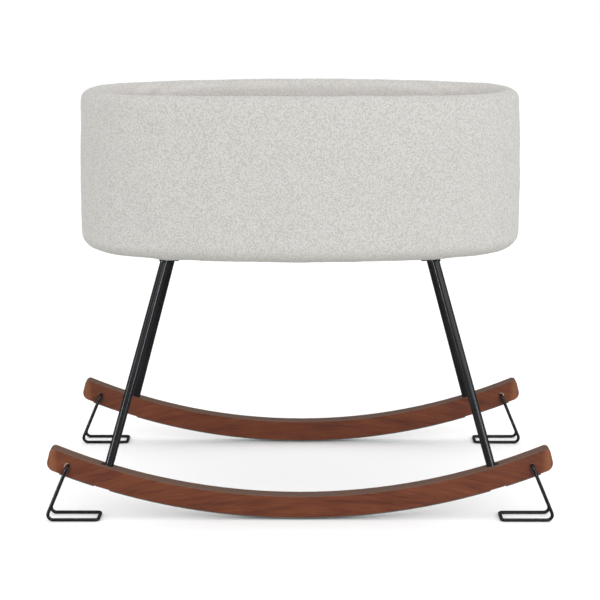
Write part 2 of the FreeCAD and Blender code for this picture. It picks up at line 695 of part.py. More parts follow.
def make_base(screw_paths, nut_paths):
    """Make the base board with its air holes, and the dust cover below it."""
    body = oval_slab("base_board_blank", BOARD_MARGIN, BOARD_LOW, "board", BOARD_ROUND)
    vents = new_sketch(body, "base_board_vents", "XY_Plane", BOARD_TOP)
    for sign in ("-", ""):
        draw_circle(vents, "-2 * vent_pitch", f"{sign}vent_offset", "vent_radius")
    first = pocket(body, vents, "board")
    row_of_vents = body.newObject("PartDesign::LinearPattern", "vent_row")
    row_of_vents.Originals = [first]
    row_of_vents.Direction = (vents, ["H_Axis"])
    row_of_vents.Occurrences = 5
    bind(row_of_vents, Length="4 * vent_pitch")
    body.Tip = row_of_vents
    keep(cut("base_board", body, nut_paths), "base_board")
    dust = oval_slab("dust_cover_blank", "dust_margin", PLATE_TOP, "dust_cloth")
    keep(cut("dust_cover", dust, screw_paths), "dust_cover")


def make_base_fasteners():
    """Make the leg plates' screws and the T-nuts that they turn into."""
    screws, nuts = [], []
    shank_length = f"{BOARD_TOP} - {PLATE_LOW}"
    heads = screw_places(f"{PLATE_LOW} - screw_head")
    barrels = screw_places(f"{BOARD_TOP} - nut_barrel")
    for number, (low, barrel) in enumerate(zip(heads, barrels), start=1):
        head = rod(f"screw_{number}_head", "screw_head_radius", "screw_head", low)
        shank = rod(f"screw_{number}_shank", "screw_radius", f"screw_head + {shank_length}", low)
        slot = document.addObject("Part::Prism", f"screw_{number}_hexagon")
        slot.Polygon = 6
        bind(slot, Circumradius="hex_socket * 0.8", Height="screw_head * 0.6")
        slot.Placement = low
        screws.append(cut(f"screw_{number}", together(f"screw_{number}_blank", [head, shank]), slot))
        body = rod(f"nut_{number}_barrel", "nut_radius", "nut_barrel + nut_flange", barrel)
        flange_place = Placement(barrel.Base + Vector(0, 0, size_of("nut_barrel")), Rotation())
        flange = rod(f"nut_{number}_flange", "nut_flange_radius", "nut_flange", flange_place)
        bore = rod(f"nut_{number}_bore", "screw_radius + screw_play", "nut_barrel + nut_flange", barrel)
        nuts.append(cut(f"nut_{number}", together(f"nut_{number}_blank", [body, flange]), bore))
    keep(together("plate_screws", screws, "Part::Compound"), "plate_screws")
    keep(together("t_nuts", nuts, "Part::Compound"), "t_nuts")


def make_mattress():
    """Make the mattress: a foam core inside a closed cover with an even cloth thickness."""
    outside = oval_slab("mattress_outside", MATTRESS_MARGIN, MATTRESS_LOW, "mattress_height",
                        "mattress_round", "mattress_round")
    inside = oval_slab("mattress_inside", f"({MATTRESS_MARGIN} + ticking)", f"{MATTRESS_LOW} + ticking",
                       "mattress_height - 2 * ticking", "mattress_round - ticking",
                       "mattress_round - ticking")
    keep(cut("mattress_cover", outside, inside), "mattress_cover")
    skin = "(ticking + seam_gap)"
    keep(oval_slab("mattress_core", f"({MATTRESS_MARGIN} + {skin})", f"{MATTRESS_LOW} + {skin}",
                   f"mattress_height - 2 * {skin}", f"mattress_round - {skin}",
                   f"mattress_round - {skin}"), "mattress_core")


# ---------------------------------------------------------------- assembly


def main():
    """Build every sub-part, check it and write it to its own file."""
    for end_name, end in ENDS:
        make_rocker(f"rocker_{end_name}", end)
        make_strips(end_name, end)
        for side_name, side in SIDES:
            make_leg(f"leg_{end_name}_{side_name}", side, end)
            make_leg_plate(f"leg_plate_{end_name}_{side_name}", side, end)
            make_kickstand(f"kickstand_{end_name}_{side_name}", side, end)
    make_leg_fasteners()

    paths = [
        rod(f"screw_path_{number}", "screw_radius + screw_play", f"{LARGE}", place)
        for number, place in enumerate(screw_places(f"{PLATE_LOW} - 1"), start=1)
    ]
    screw_paths = together("screw_paths", paths)
    barrels = [
        rod(f"nut_path_{number}", "nut_radius + screw_play", f"{LARGE}", place)
        for number, place in enumerate(screw_places(f"{PLATE_LOW}"), start=1)
    ]
    make_outer_cover(screw_paths)
    make_wall()
    make_lining()
    make_base(screw_paths, together("nut_paths", barrels))
    make_base_fasteners()
    make_mattress()
    document.recompute()

    for thing in document.Objects:
        assert not {"Invalid", "Error"} & set(thing.State), f"{thing.Name} failed: {thing.State}"
    os.makedirs("parts", exist_ok=True)
    for part in parts:
        assert not part.Shape.isNull() and part.Shape.isValid(), f"{part.Label} is not valid"
        part.Shape.exportStep(f"parts/{part.Label}.step")
        print(f"{part.Label}: {len(part.Shape.Solids)} solid(s), {part.Shape.Volume / 1000:.1f} cm3")


main()
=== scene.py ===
"""Looks of an upholstered rocking bassinet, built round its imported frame.

Every length is in metres, in the frame's own axes: +X along the basket, +Y to the rear and
+Z up, with the origin on the floor below the middle of the basket.
"""
import logging
import math
from dataclasses import dataclass, field
from enum import Enum
from typing import Iterable, Sequence

import bmesh
import bpy
import numpy as np
from mathutils import Matrix, Vector, noise
from mathutils.bvhtree import BVHTree


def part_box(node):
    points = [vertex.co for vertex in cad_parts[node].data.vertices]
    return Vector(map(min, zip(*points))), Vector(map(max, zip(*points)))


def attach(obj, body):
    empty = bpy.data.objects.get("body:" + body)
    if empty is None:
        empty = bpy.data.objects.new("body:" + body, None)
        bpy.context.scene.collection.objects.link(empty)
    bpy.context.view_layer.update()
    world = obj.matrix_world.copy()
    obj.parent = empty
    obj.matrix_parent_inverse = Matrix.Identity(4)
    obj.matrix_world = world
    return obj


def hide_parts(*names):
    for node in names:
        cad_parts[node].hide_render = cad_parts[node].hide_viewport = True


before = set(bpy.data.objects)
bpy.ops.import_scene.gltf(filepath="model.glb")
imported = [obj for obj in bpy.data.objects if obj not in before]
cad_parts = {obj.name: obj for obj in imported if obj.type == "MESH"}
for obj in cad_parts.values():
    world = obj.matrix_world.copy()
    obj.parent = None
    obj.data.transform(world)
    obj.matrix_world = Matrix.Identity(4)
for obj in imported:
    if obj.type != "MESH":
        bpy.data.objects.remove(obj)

logging.basicConfig(level=logging.INFO, format="%(name)s: %(message)s")
log = logging.getLogger("bassinet")

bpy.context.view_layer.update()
STAND = "stand_and_basket"
MM = 0.001
WELD = 0.01 * MM  # points nearer than this are merged
HAIR = 1e-9  # slack of a comparison of lengths
Colour = tuple[float, float, float]


# ------------------------------------------------------------------ shader trees


class Value:
    """A shader socket that Python's operators act on, adding Math nodes."""

    def __init__(self, shading: "Shading", socket: bpy.types.NodeSocket) -> None:
        """Keep the tree and the socket."""
        self.shading = shading
        self.socket = socket

    def math(self, operation: str, *operands: "Value | float") -> "Value":
        """Return a Math node's result.

        Args:
            operation: The Math node's operation.
            operands: Its inputs, in order.
        """
        return self.shading.add("ShaderNodeMath", {"operation": operation}, dict(enumerate(operands)))

    def of(self, operation: str) -> "Value":
        """Return a Math node of one input, such as SINE."""
        return self.math(operation, self)

    def __add__(self, other: "Value | float") -> "Value":
        """self + other."""
        return self.math("ADD", self, other)

    def __radd__(self, other: float) -> "Value":
        """other + self."""
        return self.math("ADD", other, self)

    def __sub__(self, other: "Value | float") -> "Value":
        """self - other."""
        return self.math("SUBTRACT", self, other)

    def __rsub__(self, other: float) -> "Value":
        """other - self."""
        return self.math("SUBTRACT", other, self)

    def __mul__(self, other: "Value | float") -> "Value":
        """self * other."""
        return self.math("MULTIPLY", self, other)

    def __rmul__(self, other: float) -> "Value":
        """other * self."""
        return self.math("MULTIPLY", other, self)

    def __truediv__(self, other: "Value | float") -> "Value":
        """self / other."""
        return self.math("DIVIDE", self, other)

    def __pow__(self, other: float) -> "Value":
        """self to a power."""
        return self.math("POWER", self, other)

    def smooth(self, low: float, high: float) -> "Value":
        """Return 0 below low, 1 above high and a smooth step between."""
        return self.shading.add(
            "ShaderNodeMapRange", {"interpolation_type": "SMOOTHSTEP"},
            {"Value": self, "From Min": low, "From Max": high, "To Min": 0.0, "To Max": 1.0}
        )


def distance(first: Value, second: Value) -> Value:
    """Return the length that two components span."""
    return (first * first + second * second) ** 0.5


class Shading:
    """A material's node tree, with one Principled BSDF."""

    MIX_SOCKETS = (0, 6, 7)  # a Mix node's factor and its two colours
    MIX_RESULT = 2

    def __init__(self, name: str) -> None:
        """Make an empty material with its shader and output."""
        self.material = bpy.data.materials.new(name)
        self.material.use_nodes = True
        self.tree = self.material.node_tree
        self.tree.nodes.clear()
        self.shader = self.tree.nodes.new("ShaderNodeBsdfPrincipled")
        output = self.tree.nodes.new("ShaderNodeOutputMaterial")
        self.tree.links.new(self.shader.outputs["BSDF"], output.inputs["Surface"])

    def add(self, kind: str, settings: dict | None = None, inputs: dict | None = None,
            output: str | int = 0) -> Value:
        """Add a node and return one of its outputs.

        Args:
            kind: The node's type.
            settings: Its properties; "stops" holds a ramp's (position, colour) pairs.
            inputs: Values or links of its sockets, by name or number.
            output: The output's name or number.

        Returns:
            The chosen output, ready for arithmetic.
        """
        node = self.tree.nodes.new(kind)
        for key, setting in (settings or {}).items():
            if key == "stops":
                self._set_stops(node.color_ramp, setting)
            else:
                setattr(node, key, setting)
        for key, value in (inputs or {}).items():
            self.feed(node.inputs[key], value)
        return Value(self, node.outputs[output])

    @staticmethod
    def _set_stops(ramp: bpy.types.ColorRamp, stops: Sequence[tuple[float, Colour]]) -> None:
        """Give a ramp its stops."""
        while len(ramp.elements) < len(stops):
            ramp.elements.new(0.5)
        for element, (position, colour) in zip(ramp.elements, stops):
            element.position = position
            element.color = (*colour, 1.0)

    def feed(self, socket: bpy.types.NodeSocket, value: object) -> None:
        """Link a socket to a Value, or set its plain value."""
        if isinstance(value, Value):
            self.tree.links.new(value.socket, socket)
        elif isinstance(value, tuple) and socket.type == "RGBA":
            socket.default_value = (*value, 1.0)
        else:
            socket.default_value = value

    def set(self, **sockets: object) -> "Shading":
        """Set or link sockets of the shader; an underscore stands for a space."""
        for name, value in sockets.items():
            self.feed(self.shader.inputs[name.replace("_", " ")], value)
        return self

    def coordinates(self, source: str = "Object") -> Value:
        """Return object coordinates, or the piece's UV map with source "UV"."""
        return self.add("ShaderNodeTexCoord", output=source)

    def mapped(self, vector: Value, scale: Sequence[float]) -> Value:
        """Return a vector scaled by a Mapping node."""
        return self.add("ShaderNodeMapping", None, {"Vector": vector, "Scale": tuple(scale)})

    def split(self, vector: Value) -> tuple[Value, Value, Value]:
        """Return a vector's three components."""
        node = self.add("ShaderNodeSeparateXYZ", None, {0: vector}).socket.node
        return tuple(Value(self, socket) for socket in node.outputs)

    def joined(self, x: Value | float, y: Value | float, z: Value | float) -> Value:
        """Return a vector from its components."""
        return self.add("ShaderNodeCombineXYZ", None, {0: x, 1: y, 2: z})

    def noise(self, vector: Value, size: float, detail: float = 2.0, roughness: float = 0.5) -> Value:
        """Return noise whose features are about a size in metres."""
        return self.add("ShaderNodeTexNoise", {"noise_dimensions": "3D"},
                        {"Vector": vector, "Scale": 1.0 / size, "Detail": detail, "Roughness": roughness})

    def cells(self, vector: Value, size: float, feature: str = "F1", smoothness: float = 0.3) -> Value:
        """Return the distance from the middles of random cells.

        Args:
            vector: Where the cells are read.
            size: About how large one is, in metres.
            feature: How the distance is taken.
            smoothness: How much a smoothed feature rounds it.
        """
        inputs: dict = {"Vector": vector, "Scale": 1.0 / size}
        if feature == "SMOOTH_F1":
            inputs["Smoothness"] = smoothness
        settings = {"feature": feature, "voronoi_dimensions": "3D"}
        return self.add("ShaderNodeTexVoronoi", settings, inputs, "Distance")

    def ramp(self, value: Value, *stops: tuple[float, Colour]) -> Value:
        """Return a colour ramp's colour."""
        return self.add("ShaderNodeValToRGB", {"stops": stops}, {0: value})

    def mix(self, factor: Value | float, first: Value | Colour, second: Value | Colour) -> Value:
        """Return two colours mixed.

        Args:
            factor: 0 for the first, 1 for the second.
            first: A colour.
            second: Another.
        """
        node = self.tree.nodes.new("ShaderNodeMix")
        node.data_type = "RGBA"
        for index, value in zip(self.MIX_SOCKETS, (factor, first, second)):
            self.feed(node.inputs[index], value)
        return Value(self, node.outputs[self.MIX_RESULT])

    def nudge(self, vector: Value, offset: Value, amount: float) -> Value:
        """Return a vector moved by a noise colour.

        Args:
            vector: What moves.
            offset: The noise's colour, which is centred on grey.
            amount: How far it moves.
        """
        centred = self.add("ShaderNodeVectorMath", {"operation": "SUBTRACT"}, {0: offset, 1: (0.5, 0.5, 0.5)})
        scaled = self.add("ShaderNodeVectorMath", {"operation": "SCALE"}, {0: centred, "Scale": amount})
        return self.add("ShaderNodeVectorMath", {"operation": "ADD"}, {0: vector, 1: scaled})

    def bump(self, height: Value, distance: float, strength: float = 1.0) -> Value:
        """Return a normal from a height.

        Args:
            height: 0 to 1.
            distance: What a height of 1 stands for.
            strength: How much of it is used.
        """
        return self.add("ShaderNodeBump", None,
                        {"Height": height, "Distance": distance, "Strength": strength})


# ------------------------------------------------------------------ finishes


def shaded(colour: Colour, factor: float) -> Colour:
    """Return a colour made darker or lighter by a factor."""
    return tuple(channel * factor for channel in colour)


@dataclass(frozen=True)
class Boucle:
    """Looped wool-like cloth: pale round nubs with darker pits between them, the pits' tone painted shade.

    From inside_from on, a length across the cloth, it is turned in and its inside colours are painted paler,
    standing in for light on the shaded inside.
    Up to hem_from, a height above the floor, it is darkened towards the hem's colour: painted shade near the
    floor.
    """

    light: Colour = (0.500, 0.494, 0.474)
    shade: Colour = (0.352, 0.343, 0.318)
    # inside colours are painted light: paler, to stand in for light on the shaded inside of the basket
    inside: Colour = (0.612, 0.586, 0.566)
    inside_shade: Colour = (0.490, 0.468, 0.450)
    inside_from: float = 10.0
    # hem: painted shade along the bottom of the wall, near the floor
    hem: Colour = (0.300, 0.285, 0.250)
    hem_from: float = 0.0
    hem_share: float = 0.62
    fade: float = 26 * MM
    nub: float = 2.6 * MM
    fibre: float = 0.9 * MM
    wash: float = 120 * MM
    pit_share: float = 0.8
    fibre_share: float = 0.8
    wash_share: float = 0.12
    relief: float = 1.0 * MM

    def make(self, name: str) -> bpy.types.Material:
        """Return the material; it reads a UV map laid out in metres."""
        s = Shading(name)
        flat = s.coordinates("UV")
        swirl = s.add("ShaderNodeTexNoise", None, {"Vector": flat, "Scale": 0.7 / self.nub, "Detail": 2.0},
                      "Color")
        warped = s.nudge(flat, swirl, self.nub * 0.9)
        nubs = s.cells(warped, self.nub, "SMOOTH_F1", smoothness=0.25)
        fibres = s.noise(warped, self.fibre, detail=3.0, roughness=0.6)
        clumps = s.noise(flat, self.nub * 4, detail=3.0, roughness=0.55)
        wash = s.noise(flat, self.wash)
        loops = 1.0 - nubs.smooth(0.05, 0.8)
        # the pits' darker tone is painted shade between the nubs
        pits = nubs.smooth(0.34, 0.72) * (0.85 + clumps.smooth(0.35, 0.65) * 0.15)
        height = loops * 0.8 + fibres * 0.3
        tone = pits * self.pit_share + (fibres - 0.5) * self.fibre_share + (wash - 0.5) * self.wash_share
        _, across, _ = s.split(flat)
        # painted light: the turned-in cloth is paler, standing in for light on the shaded inside
        painted_light_inside = across.smooth(self.inside_from, self.inside_from + self.fade)
        lit = s.mix(painted_light_inside, self.light, self.inside)
        deep = s.mix(painted_light_inside, self.shade, self.inside_shade)
        cloth = s.mix(tone.smooth(-0.35, 1.0), lit, deep)
        # painted shade: the wall darkens towards the hem colour near the floor
        _, _, up = s.split(s.coordinates())
        painted_bottom_shade = 1.0 - up.smooth(self.hem_from, self.hem_from + self.fade)
        colour = s.mix(painted_bottom_shade * self.hem_share, cloth, self.hem)
        return s.set(Base_Color=colour, Roughness=0.95, Sheen_Weight=0.15, Sheen_Roughness=0.5,
                     Normal=s.bump(height, self.relief, 0.7)).material


@dataclass(frozen=True)
class Walnut:
    """Sawn wood under a satin red-brown stain: straight grain, a top greyed by painted reflection, paler worn
    ends, painted shade round the leg sockets, and kickstand holes with dirt, painted shadow and bare rubbed
    wood.
    """

    face: Colour = (0.130, 0.0285, 0.0072)
    dark: Colour = (0.079, 0.0160, 0.0050)
    light: Colour = (0.180, 0.0460, 0.0125)
    # top: painted reflection of the white room on the upward faces
    top: Colour = (0.150, 0.097, 0.072)
    bare: Colour = (0.74, 0.50, 0.34)
    pale_end: Colour = (0.245, 0.085, 0.030)
    # dark colour for dirt and painted shade: the smudge and the kickstand wire's shadow below each hole, and
    # the shade round each leg's socket
    smudge_and_shade: Colour = (0.035, 0.014, 0.009)
    sweep: float = 0.35
    grain: float = 1.5 * MM
    band: float = 11 * MM
    pore: float = 0.6 * MM
    cloud: float = 60 * MM
    band_share: float = 0.38
    grain_share: float = 0.47
    cloud_share: float = 0.15
    ragged: float = 5 * MM
    pivot: tuple[float, float] = (0.420, 0.1038)
    mortise: tuple[float, float] = (0.3560, 0.2380)
    end_x: float = 0.457

    def make(self, name: str) -> bpy.types.Material:
        """Return the material; the grain runs along X and sweeps down gently towards both ends."""
        s = Shading(name)
        place = s.coordinates()
        x, y, z = s.split(place)
        side = x.of("ABSOLUTE")
        level = z + x * x * self.sweep
        fine = s.noise(s.joined(x * 0.04, y, level), self.grain, detail=4.0, roughness=0.6)
        bands = s.noise(s.joined(x * 0.12, y * 0.6, level), self.band, detail=3.0)
        pores = s.noise(s.joined(x * 0.07, y, level), self.pore)
        cloudy = s.noise(place, self.cloud)
        figure = bands * self.band_share + fine * self.grain_share + cloudy * self.cloud_share
        stain = s.ramp(figure, (0.36, self.dark), (0.50, self.face), (0.66, self.light))
        streaked = s.mix(pores.smooth(0.60, 0.74) * 0.35, stain, self.dark)
        ragged = (s.noise(place, self.ragged, detail=3.0) - 0.5) * self.ragged
        ended = self.pale_ends(s, side, ragged, streaked)
        # painted reflection: faces that point up are greyed towards the top colour, as the white room would
        # mirror in them
        _, _, facing = s.split(s.add("ShaderNodeNewGeometry", output="Normal"))
        painted_top_reflection = s.mix(facing.smooth(0.45, 0.85), ended,
                       s.mix(fine.smooth(0.3, 0.7) * 0.4, self.top, stain))
        rubbed = self.hole_wear_and_shadow(s, (x, y, z), ragged, painted_top_reflection)
        # painted shade: a dark ring round each leg's socket in the rocker, where the leg meets the wood
        gap = distance(side - self.mortise[0], y.of("ABSOLUTE") - self.mortise[1])
        colour = s.mix(1.0 - gap.smooth(4.0 * MM, 6.0 * MM), rubbed, self.smudge_and_shade)
        return s.set(Base_Color=colour, Roughness=0.42 + fine * 0.18, Coat_Weight=0.06, Coat_Roughness=0.4,
                     Specular_IOR_Level=0.35,
                     Normal=s.bump(fine * 0.6 + pores * 0.4, 0.12 * MM, 0.6)).material

    def pale_ends(self, s: Shading, side: Value, ragged: Value, stain: Value) -> Value:
        """Return the stain, worn paler near each sawn end and darker on its very edge.

        Args:
            s: The material's nodes.
            side: Distance from the middle of the rocker, along X.
            ragged: How far the worn edge strays.
            stain: The colour below.
        """
        near_end = (side + ragged).smooth(self.end_x - 22 * MM, self.end_x - 8 * MM)
        pale = s.mix(near_end * 0.6, stain, self.pale_end)
        edge = (side + ragged * 0.2).smooth(self.end_x - 4.5 * MM, self.end_x - 1.0 * MM)
        return s.mix(edge * 0.75, pale, self.dark)

    def hole_wear_and_shadow(self, s: Shading, place: tuple[Value, Value, Value], ragged: Value,
                    stain: Value) -> Value:
        """Return the stain, darkened below the kickstand's hole by dirt and the wire's painted shadow, and
        rubbed bare on its outer side.

        Args:
            s: The material's nodes.
            place: The three coordinates.
            ragged: How far the worn edge strays.
            stain: The colour below.
        """
        x, y, z = place
        off_x, off_z = x.of("ABSOLUTE") - self.pivot[0], z - self.pivot[1]
        reach = distance(off_x, off_z) + ragged
        # dirt and painted shadow: a dark trail below the hole, partly dirt and partly the kickstand wire's
        # shadow
        trail = distance(off_x * 1.5, (off_z + 5 * MM) * 0.7) + ragged * 0.6
        dirt_and_shadow = s.mix((1.0 - trail.smooth(5 * MM, 12 * MM)) * 0.7, stain, self.smudge_and_shade)
        outward = (off_x + off_z * 1.3).smooth(1.5 * MM, 4.0 * MM)
        corner = (x * y).smooth(-20 * MM, 20 * MM) * 0.85 + 0.1
        worn = (1.0 - (reach + ragged * 0.3).smooth(5.2 * MM, 6.4 * MM)) * outward * corner
        return s.mix(worn * 0.8, dirt_and_shadow, self.bare)


@dataclass(frozen=True)
class PowderCoat:
    """Satin black powder coating with a faint orange-peel."""

    colour: Colour = (0.009, 0.009, 0.010)
    roughness: float = 0.18
    peel: float = 1.3 * MM
    rub: float = 40 * MM

    def make(self, name: str) -> bpy.types.Material:
        """Return the material."""
        s = Shading(name)
        place = s.coordinates()
        peel = s.noise(place, self.peel)
        rubbed = s.noise(place, self.rub, detail=3.0)
        colour = s.mix(rubbed.smooth(0.45, 0.75) * 0.5, self.colour, shaded(self.colour, 1.9))
        return s.set(Base_Color=colour, Roughness=self.roughness + rubbed * 0.10,
                     Normal=s.bump(peel, 0.04 * MM, 0.12)).material


@dataclass(frozen=True)
class GlideStrip:
    """Matt grey-green anti-slip strip with a felt-like nap."""

    colour: Colour = (0.098, 0.112, 0.105)
    nap: float = 0.6 * MM
    scuff: float = 12 * MM

    def make(self, name: str) -> bpy.types.Material:
        """Return the material."""
        s = Shading(name)
        place = s.coordinates()
        nap = s.noise(place, self.nap, detail=3.0, roughness=0.6)
        scuffs = s.noise(place, self.scuff, detail=3.0)
        colour = s.ramp(nap * 0.5 + scuffs * 0.5, (0.35, shaded(self.colour, 0.7)),
                        (0.68, shaded(self.colour, 1.3)))
        return s.set(Base_Color=colour, Roughness=0.92, Normal=s.bump(nap, 0.2 * MM, 0.6)).material


@dataclass(frozen=True)
class Plywood:
    """Raw birch plywood with glue lines through its thickness."""

    pale: Colour = (0.55, 0.38, 0.22)
    dark: Colour = (0.36, 0.21, 0.10)
    grain: float = 3 * MM
    ply: float = 1.5 * MM

    def make(self, name: str) -> bpy.types.Material:
        """Return the material."""
        s = Shading(name)
        place = s.coordinates()
        grain = s.noise(s.mapped(place, (0.06, 1.0, 1.0)), self.grain, detail=4.0, roughness=0.6)
        _, _, z = s.split(place)
        glue = 1.0 - (z / self.ply).of("FRACT").smooth(0.0, 0.18)
        colour = s.mix(glue * 0.6, s.ramp(grain, (0.35, self.dark), (0.62, self.pale)), self.dark)
        return s.set(Base_Color=colour, Roughness=0.7 + grain * 0.1,
                     Normal=s.bump(grain, 0.1 * MM, 0.5)).material


@dataclass(frozen=True)
class Metal:
    """Small plated or blackened steel parts with fine turning marks."""

    colour: Colour = (0.58, 0.58, 0.56)
    metallic: float = 1.0
    roughness: float = 0.32
    mark: float = 6 * MM
    grime: float = 3 * MM

    def make(self, name: str) -> bpy.types.Material:
        """Return the material."""
        s = Shading(name)
        place = s.coordinates()
        marks = s.noise(s.mapped(place, (1, 1, 12)), self.mark, detail=3.0, roughness=0.6)
        grime = s.noise(place, self.grime)
        colour = s.mix(grime.smooth(0.4, 0.8) * 0.35, self.colour, shaded(self.colour, 0.55))
        return s.set(Base_Color=colour, Metallic=self.metallic, Roughness=self.roughness + marks * 0.16,
                     Normal=s.bump(marks, 0.03 * MM, 0.4)).material


@dataclass(frozen=True)
class WovenCloth:
    """Plain-weave cloth read from a UV map laid out in metres, or from object coordinates."""

    colour: Colour = (0.80, 0.79, 0.76)
    thread: float = 0.8 * MM
    source: str = "UV"
    wash: float = 45 * MM
    relief: float = 0.25 * MM
    contrast: float = 0.72

    def make(self, name: str) -> bpy.types.Material:
        """Return the material."""
        s = Shading(name)
        place = s.coordinates(self.source)
        u, v, _ = s.split(place)
        step = 2 * math.pi / self.thread
        weave = (u * step).of("SINE") * (v * step).of("SINE") * 0.5 + 0.5
        slub = s.noise(s.mapped(place, (0.2, 1.0, 1.0)), self.thread * 1.5)
        wash = s.noise(place, self.wash, detail=3.0)
        tone = weave * 0.4 + slub * 0.35 + wash * 0.25
        colour = s.ramp(tone, (0.2, shaded(self.colour, self.contrast)), (0.75, self.colour))
        return s.set(Base_Color=colour, Roughness=0.9, Sheen_Weight=0.15,
                     Normal=s.bump(weave * 0.6 + slub * 0.4, self.relief, 0.7)).material


@dataclass(frozen=True)
class SpunBond:
    """Black non-woven dust cloth with its pressed dots."""

    colour: Colour = (0.022, 0.022, 0.023)
    dot: float = 2.2 * MM
    fibre: float = 1.0 * MM

    def make(self, name: str) -> bpy.types.Material:
        """Return the material."""
        s = Shading(name)
        place = s.coordinates()
        x, y, _ = s.split(place)
        step = 2 * math.pi / self.dot
        dots = ((x * step).of("SINE") * (y * step).of("SINE")).smooth(0.3, 0.8)
        fibres = s.noise(place, self.fibre, detail=4.0, roughness=0.65)
        colour = s.mix(fibres.smooth(0.4, 0.7) * 0.6, self.colour, shaded(self.colour, 2.4))
        return s.set(Base_Color=colour, Roughness=0.85 - dots * 0.25,
                     Normal=s.bump(fibres * 0.5 - dots * 0.5, 0.15 * MM, 0.6)).material


@dataclass(frozen=True)
class Foam:
    """Open-cell foam."""

    colour: Colour = (0.72, 0.66, 0.46)
    pore: float = 1.2 * MM
    age: float = 60 * MM

    def make(self, name: str) -> bpy.types.Material:
        """Return the material."""
        s = Shading(name)
        place = s.coordinates()
        pores = s.cells(place, self.pore)
        aged = s.noise(place, self.age, detail=3.0)
        colour = s.mix(aged, self.colour, shaded(self.colour, 0.8))
        return s.set(Base_Color=colour, Roughness=0.95, Normal=s.bump(pores, 0.4 * MM, 0.8)).material


class Finish(Enum):
    """The finishes of the bassinet's pieces."""

    BOUCLE = Boucle(inside_from=0.341, hem_from=0.4645)
    # the lining's paler colours are painted light, like the wall's turned-in part
    LINING = Boucle(light=(0.600, 0.580, 0.560), shade=(0.480, 0.462, 0.445))
    WALNUT = Walnut()
    BLACK_STEEL = PowderCoat()
    GLIDE = GlideStrip()
    PLY = Plywood()
    ZINC = Metal()
    BLACK_OXIDE = Metal(colour=(0.035, 0.035, 0.038), metallic=0.7, roughness=0.38)
    SPUN_BOND = SpunBond()
    TICKING = WovenCloth(colour=(0.575, 0.570, 0.550))
    PIPING = WovenCloth(colour=(0.520, 0.508, 0.480), thread=0.6 * MM)
    THREAD = WovenCloth(colour=(0.400, 0.385, 0.350), thread=0.5 * MM, source="Object")
    FOAM = Foam()

    @property
    def material(self) -> bpy.types.Material:
        """Return the finish's material, made once."""
        name = f"{self.name.lower()}_finish"
        return bpy.data.materials.get(name) or self.value.make(name)


NODE_FINISHES: dict[str, Finish] = {
    "rocker": Finish.WALNUT, "glide_strip": Finish.GLIDE, "leg": Finish.BLACK_STEEL,
    "kickstand": Finish.BLACK_STEEL, "wall_ring": Finish.PLY, "base_board": Finish.PLY,
    "plate_screws": Finish.BLACK_OXIDE, "rocker_bolts": Finish.BLACK_OXIDE,
    "locking_screws": Finish.BLACK_OXIDE, "t_nuts": Finish.ZINC, "foot_inserts": Finish.ZINC,
    "bolt_washers": Finish.ZINC, "mattress_core": Finish.FOAM, "outer_padding": Finish.FOAM,
    "inner_padding": Finish.FOAM, "rim_roll": Finish.FOAM, "outer_cover": Finish.BOUCLE,
    "inner_lining": Finish.BOUCLE, "dust_cover": Finish.SPUN_BOND, "mattress_cover": Finish.TICKING,
}


def dress_frame() -> None:
    """Give every carried-over CAD node its finish."""
    for name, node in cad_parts.items():
        finish = NODE_FINISHES[max((key for key in NODE_FINISHES if name.startswith(key)), key=len)]
        node.data.materials.clear()
        node.data.materials.append(finish.material)


# ------------------------------------------------------------------ shapes


@dataclass
class Plan:
    """The basket's oval plan: two long arcs and two end arcs that meet tangentially."""

    half_length: float
    half_width: float
    side_radius: float = 0.992
    count: int = 300
    points: np.ndarray = field(init=False)
    normals: np.ndarray = field(init=False)
    lengths: np.ndarray = field(init=False)
    perimeter: float = field(init=False)
    end_x: float = field(init=False)

    def __post_init__(self) -> None:
        """Space the plan's points evenly along the outline, from the middle of the rear side."""
        a, b, r = self.half_length, self.half_width, self.side_radius
        end_radius = (a * a + b * b - 2 * r * b) / (2 * (a - r))
        self.end_x = a - end_radius
        side_y = r - b
        lean = math.atan2(self.end_x, side_y)
        pieces = [
            ((0.0, -side_y), r, math.pi / 2, math.pi / 2 + lean),
            ((-self.end_x, 0.0), end_radius, math.pi / 2 + lean, 3 * math.pi / 2 - lean),
            ((0.0, side_y), r, 3 * math.pi / 2 - lean, 3 * math.pi / 2 + lean),
            ((self.end_x, 0.0), end_radius, 3 * math.pi / 2 + lean, 5 * math.pi / 2 - lean),
            ((0.0, -side_y), r, 5 * math.pi / 2 - lean, 5 * math.pi / 2),
        ]
        ends = np.cumsum([0.0] + [radius * (last - first) for _, radius, first, last in pieces])
        self.perimeter = float(ends[-1])
        self.lengths = np.arange(self.count) * self.perimeter / self.count
        self.points = np.zeros((self.count, 2))
        self.normals = np.zeros((self.count, 2))
        for (centre, radius, first, last), start, end in zip(pieces, ends, ends[1:]):
            inside = (self.lengths >= start - HAIR) & (self.lengths < end - HAIR)
            angle = first + (self.lengths[inside] - start) / radius
            outward = np.stack([np.cos(angle), np.sin(angle)], axis=1)
            self.normals[inside] = outward
            self.points[inside] = np.array(centre) + outward * radius

    @property
    def around(self) -> np.ndarray:
        """Return the length round the outline at each point, and at its end."""
        return np.append(self.lengths, self.perimeter)

    @property
    def area(self) -> float:
        """Return the area inside the outline."""
        flat = np.append(self.points, self.points[:1], axis=0)
        return abs(float(np.sum(flat[:-1, 0] * flat[1:, 1] - flat[1:, 0] * flat[:-1, 1]))) / 2

    def loop(self, margin: float, height: float) -> np.ndarray:
        """Return the outline moved in by a margin, at a height."""
        inner = self.points - self.normals * margin
        return np.column_stack([inner, np.full(self.count, height)])

    def spine(self, share: float, margin: float, height: float) -> np.ndarray:
        """Return a loop between the outline at a margin and the plan's middle line.

        Args:
            share: 0 on the outline, 1 on the middle line.
            margin: Where the outline lies.
            height: The loop's height.
        """
        rim = self.loop(margin, height)
        line = np.column_stack([np.clip(rim[:, 0], -self.end_x, self.end_x), np.zeros(self.count),
                                np.full(self.count, height)])
        return rim * (1 - share) + line * share


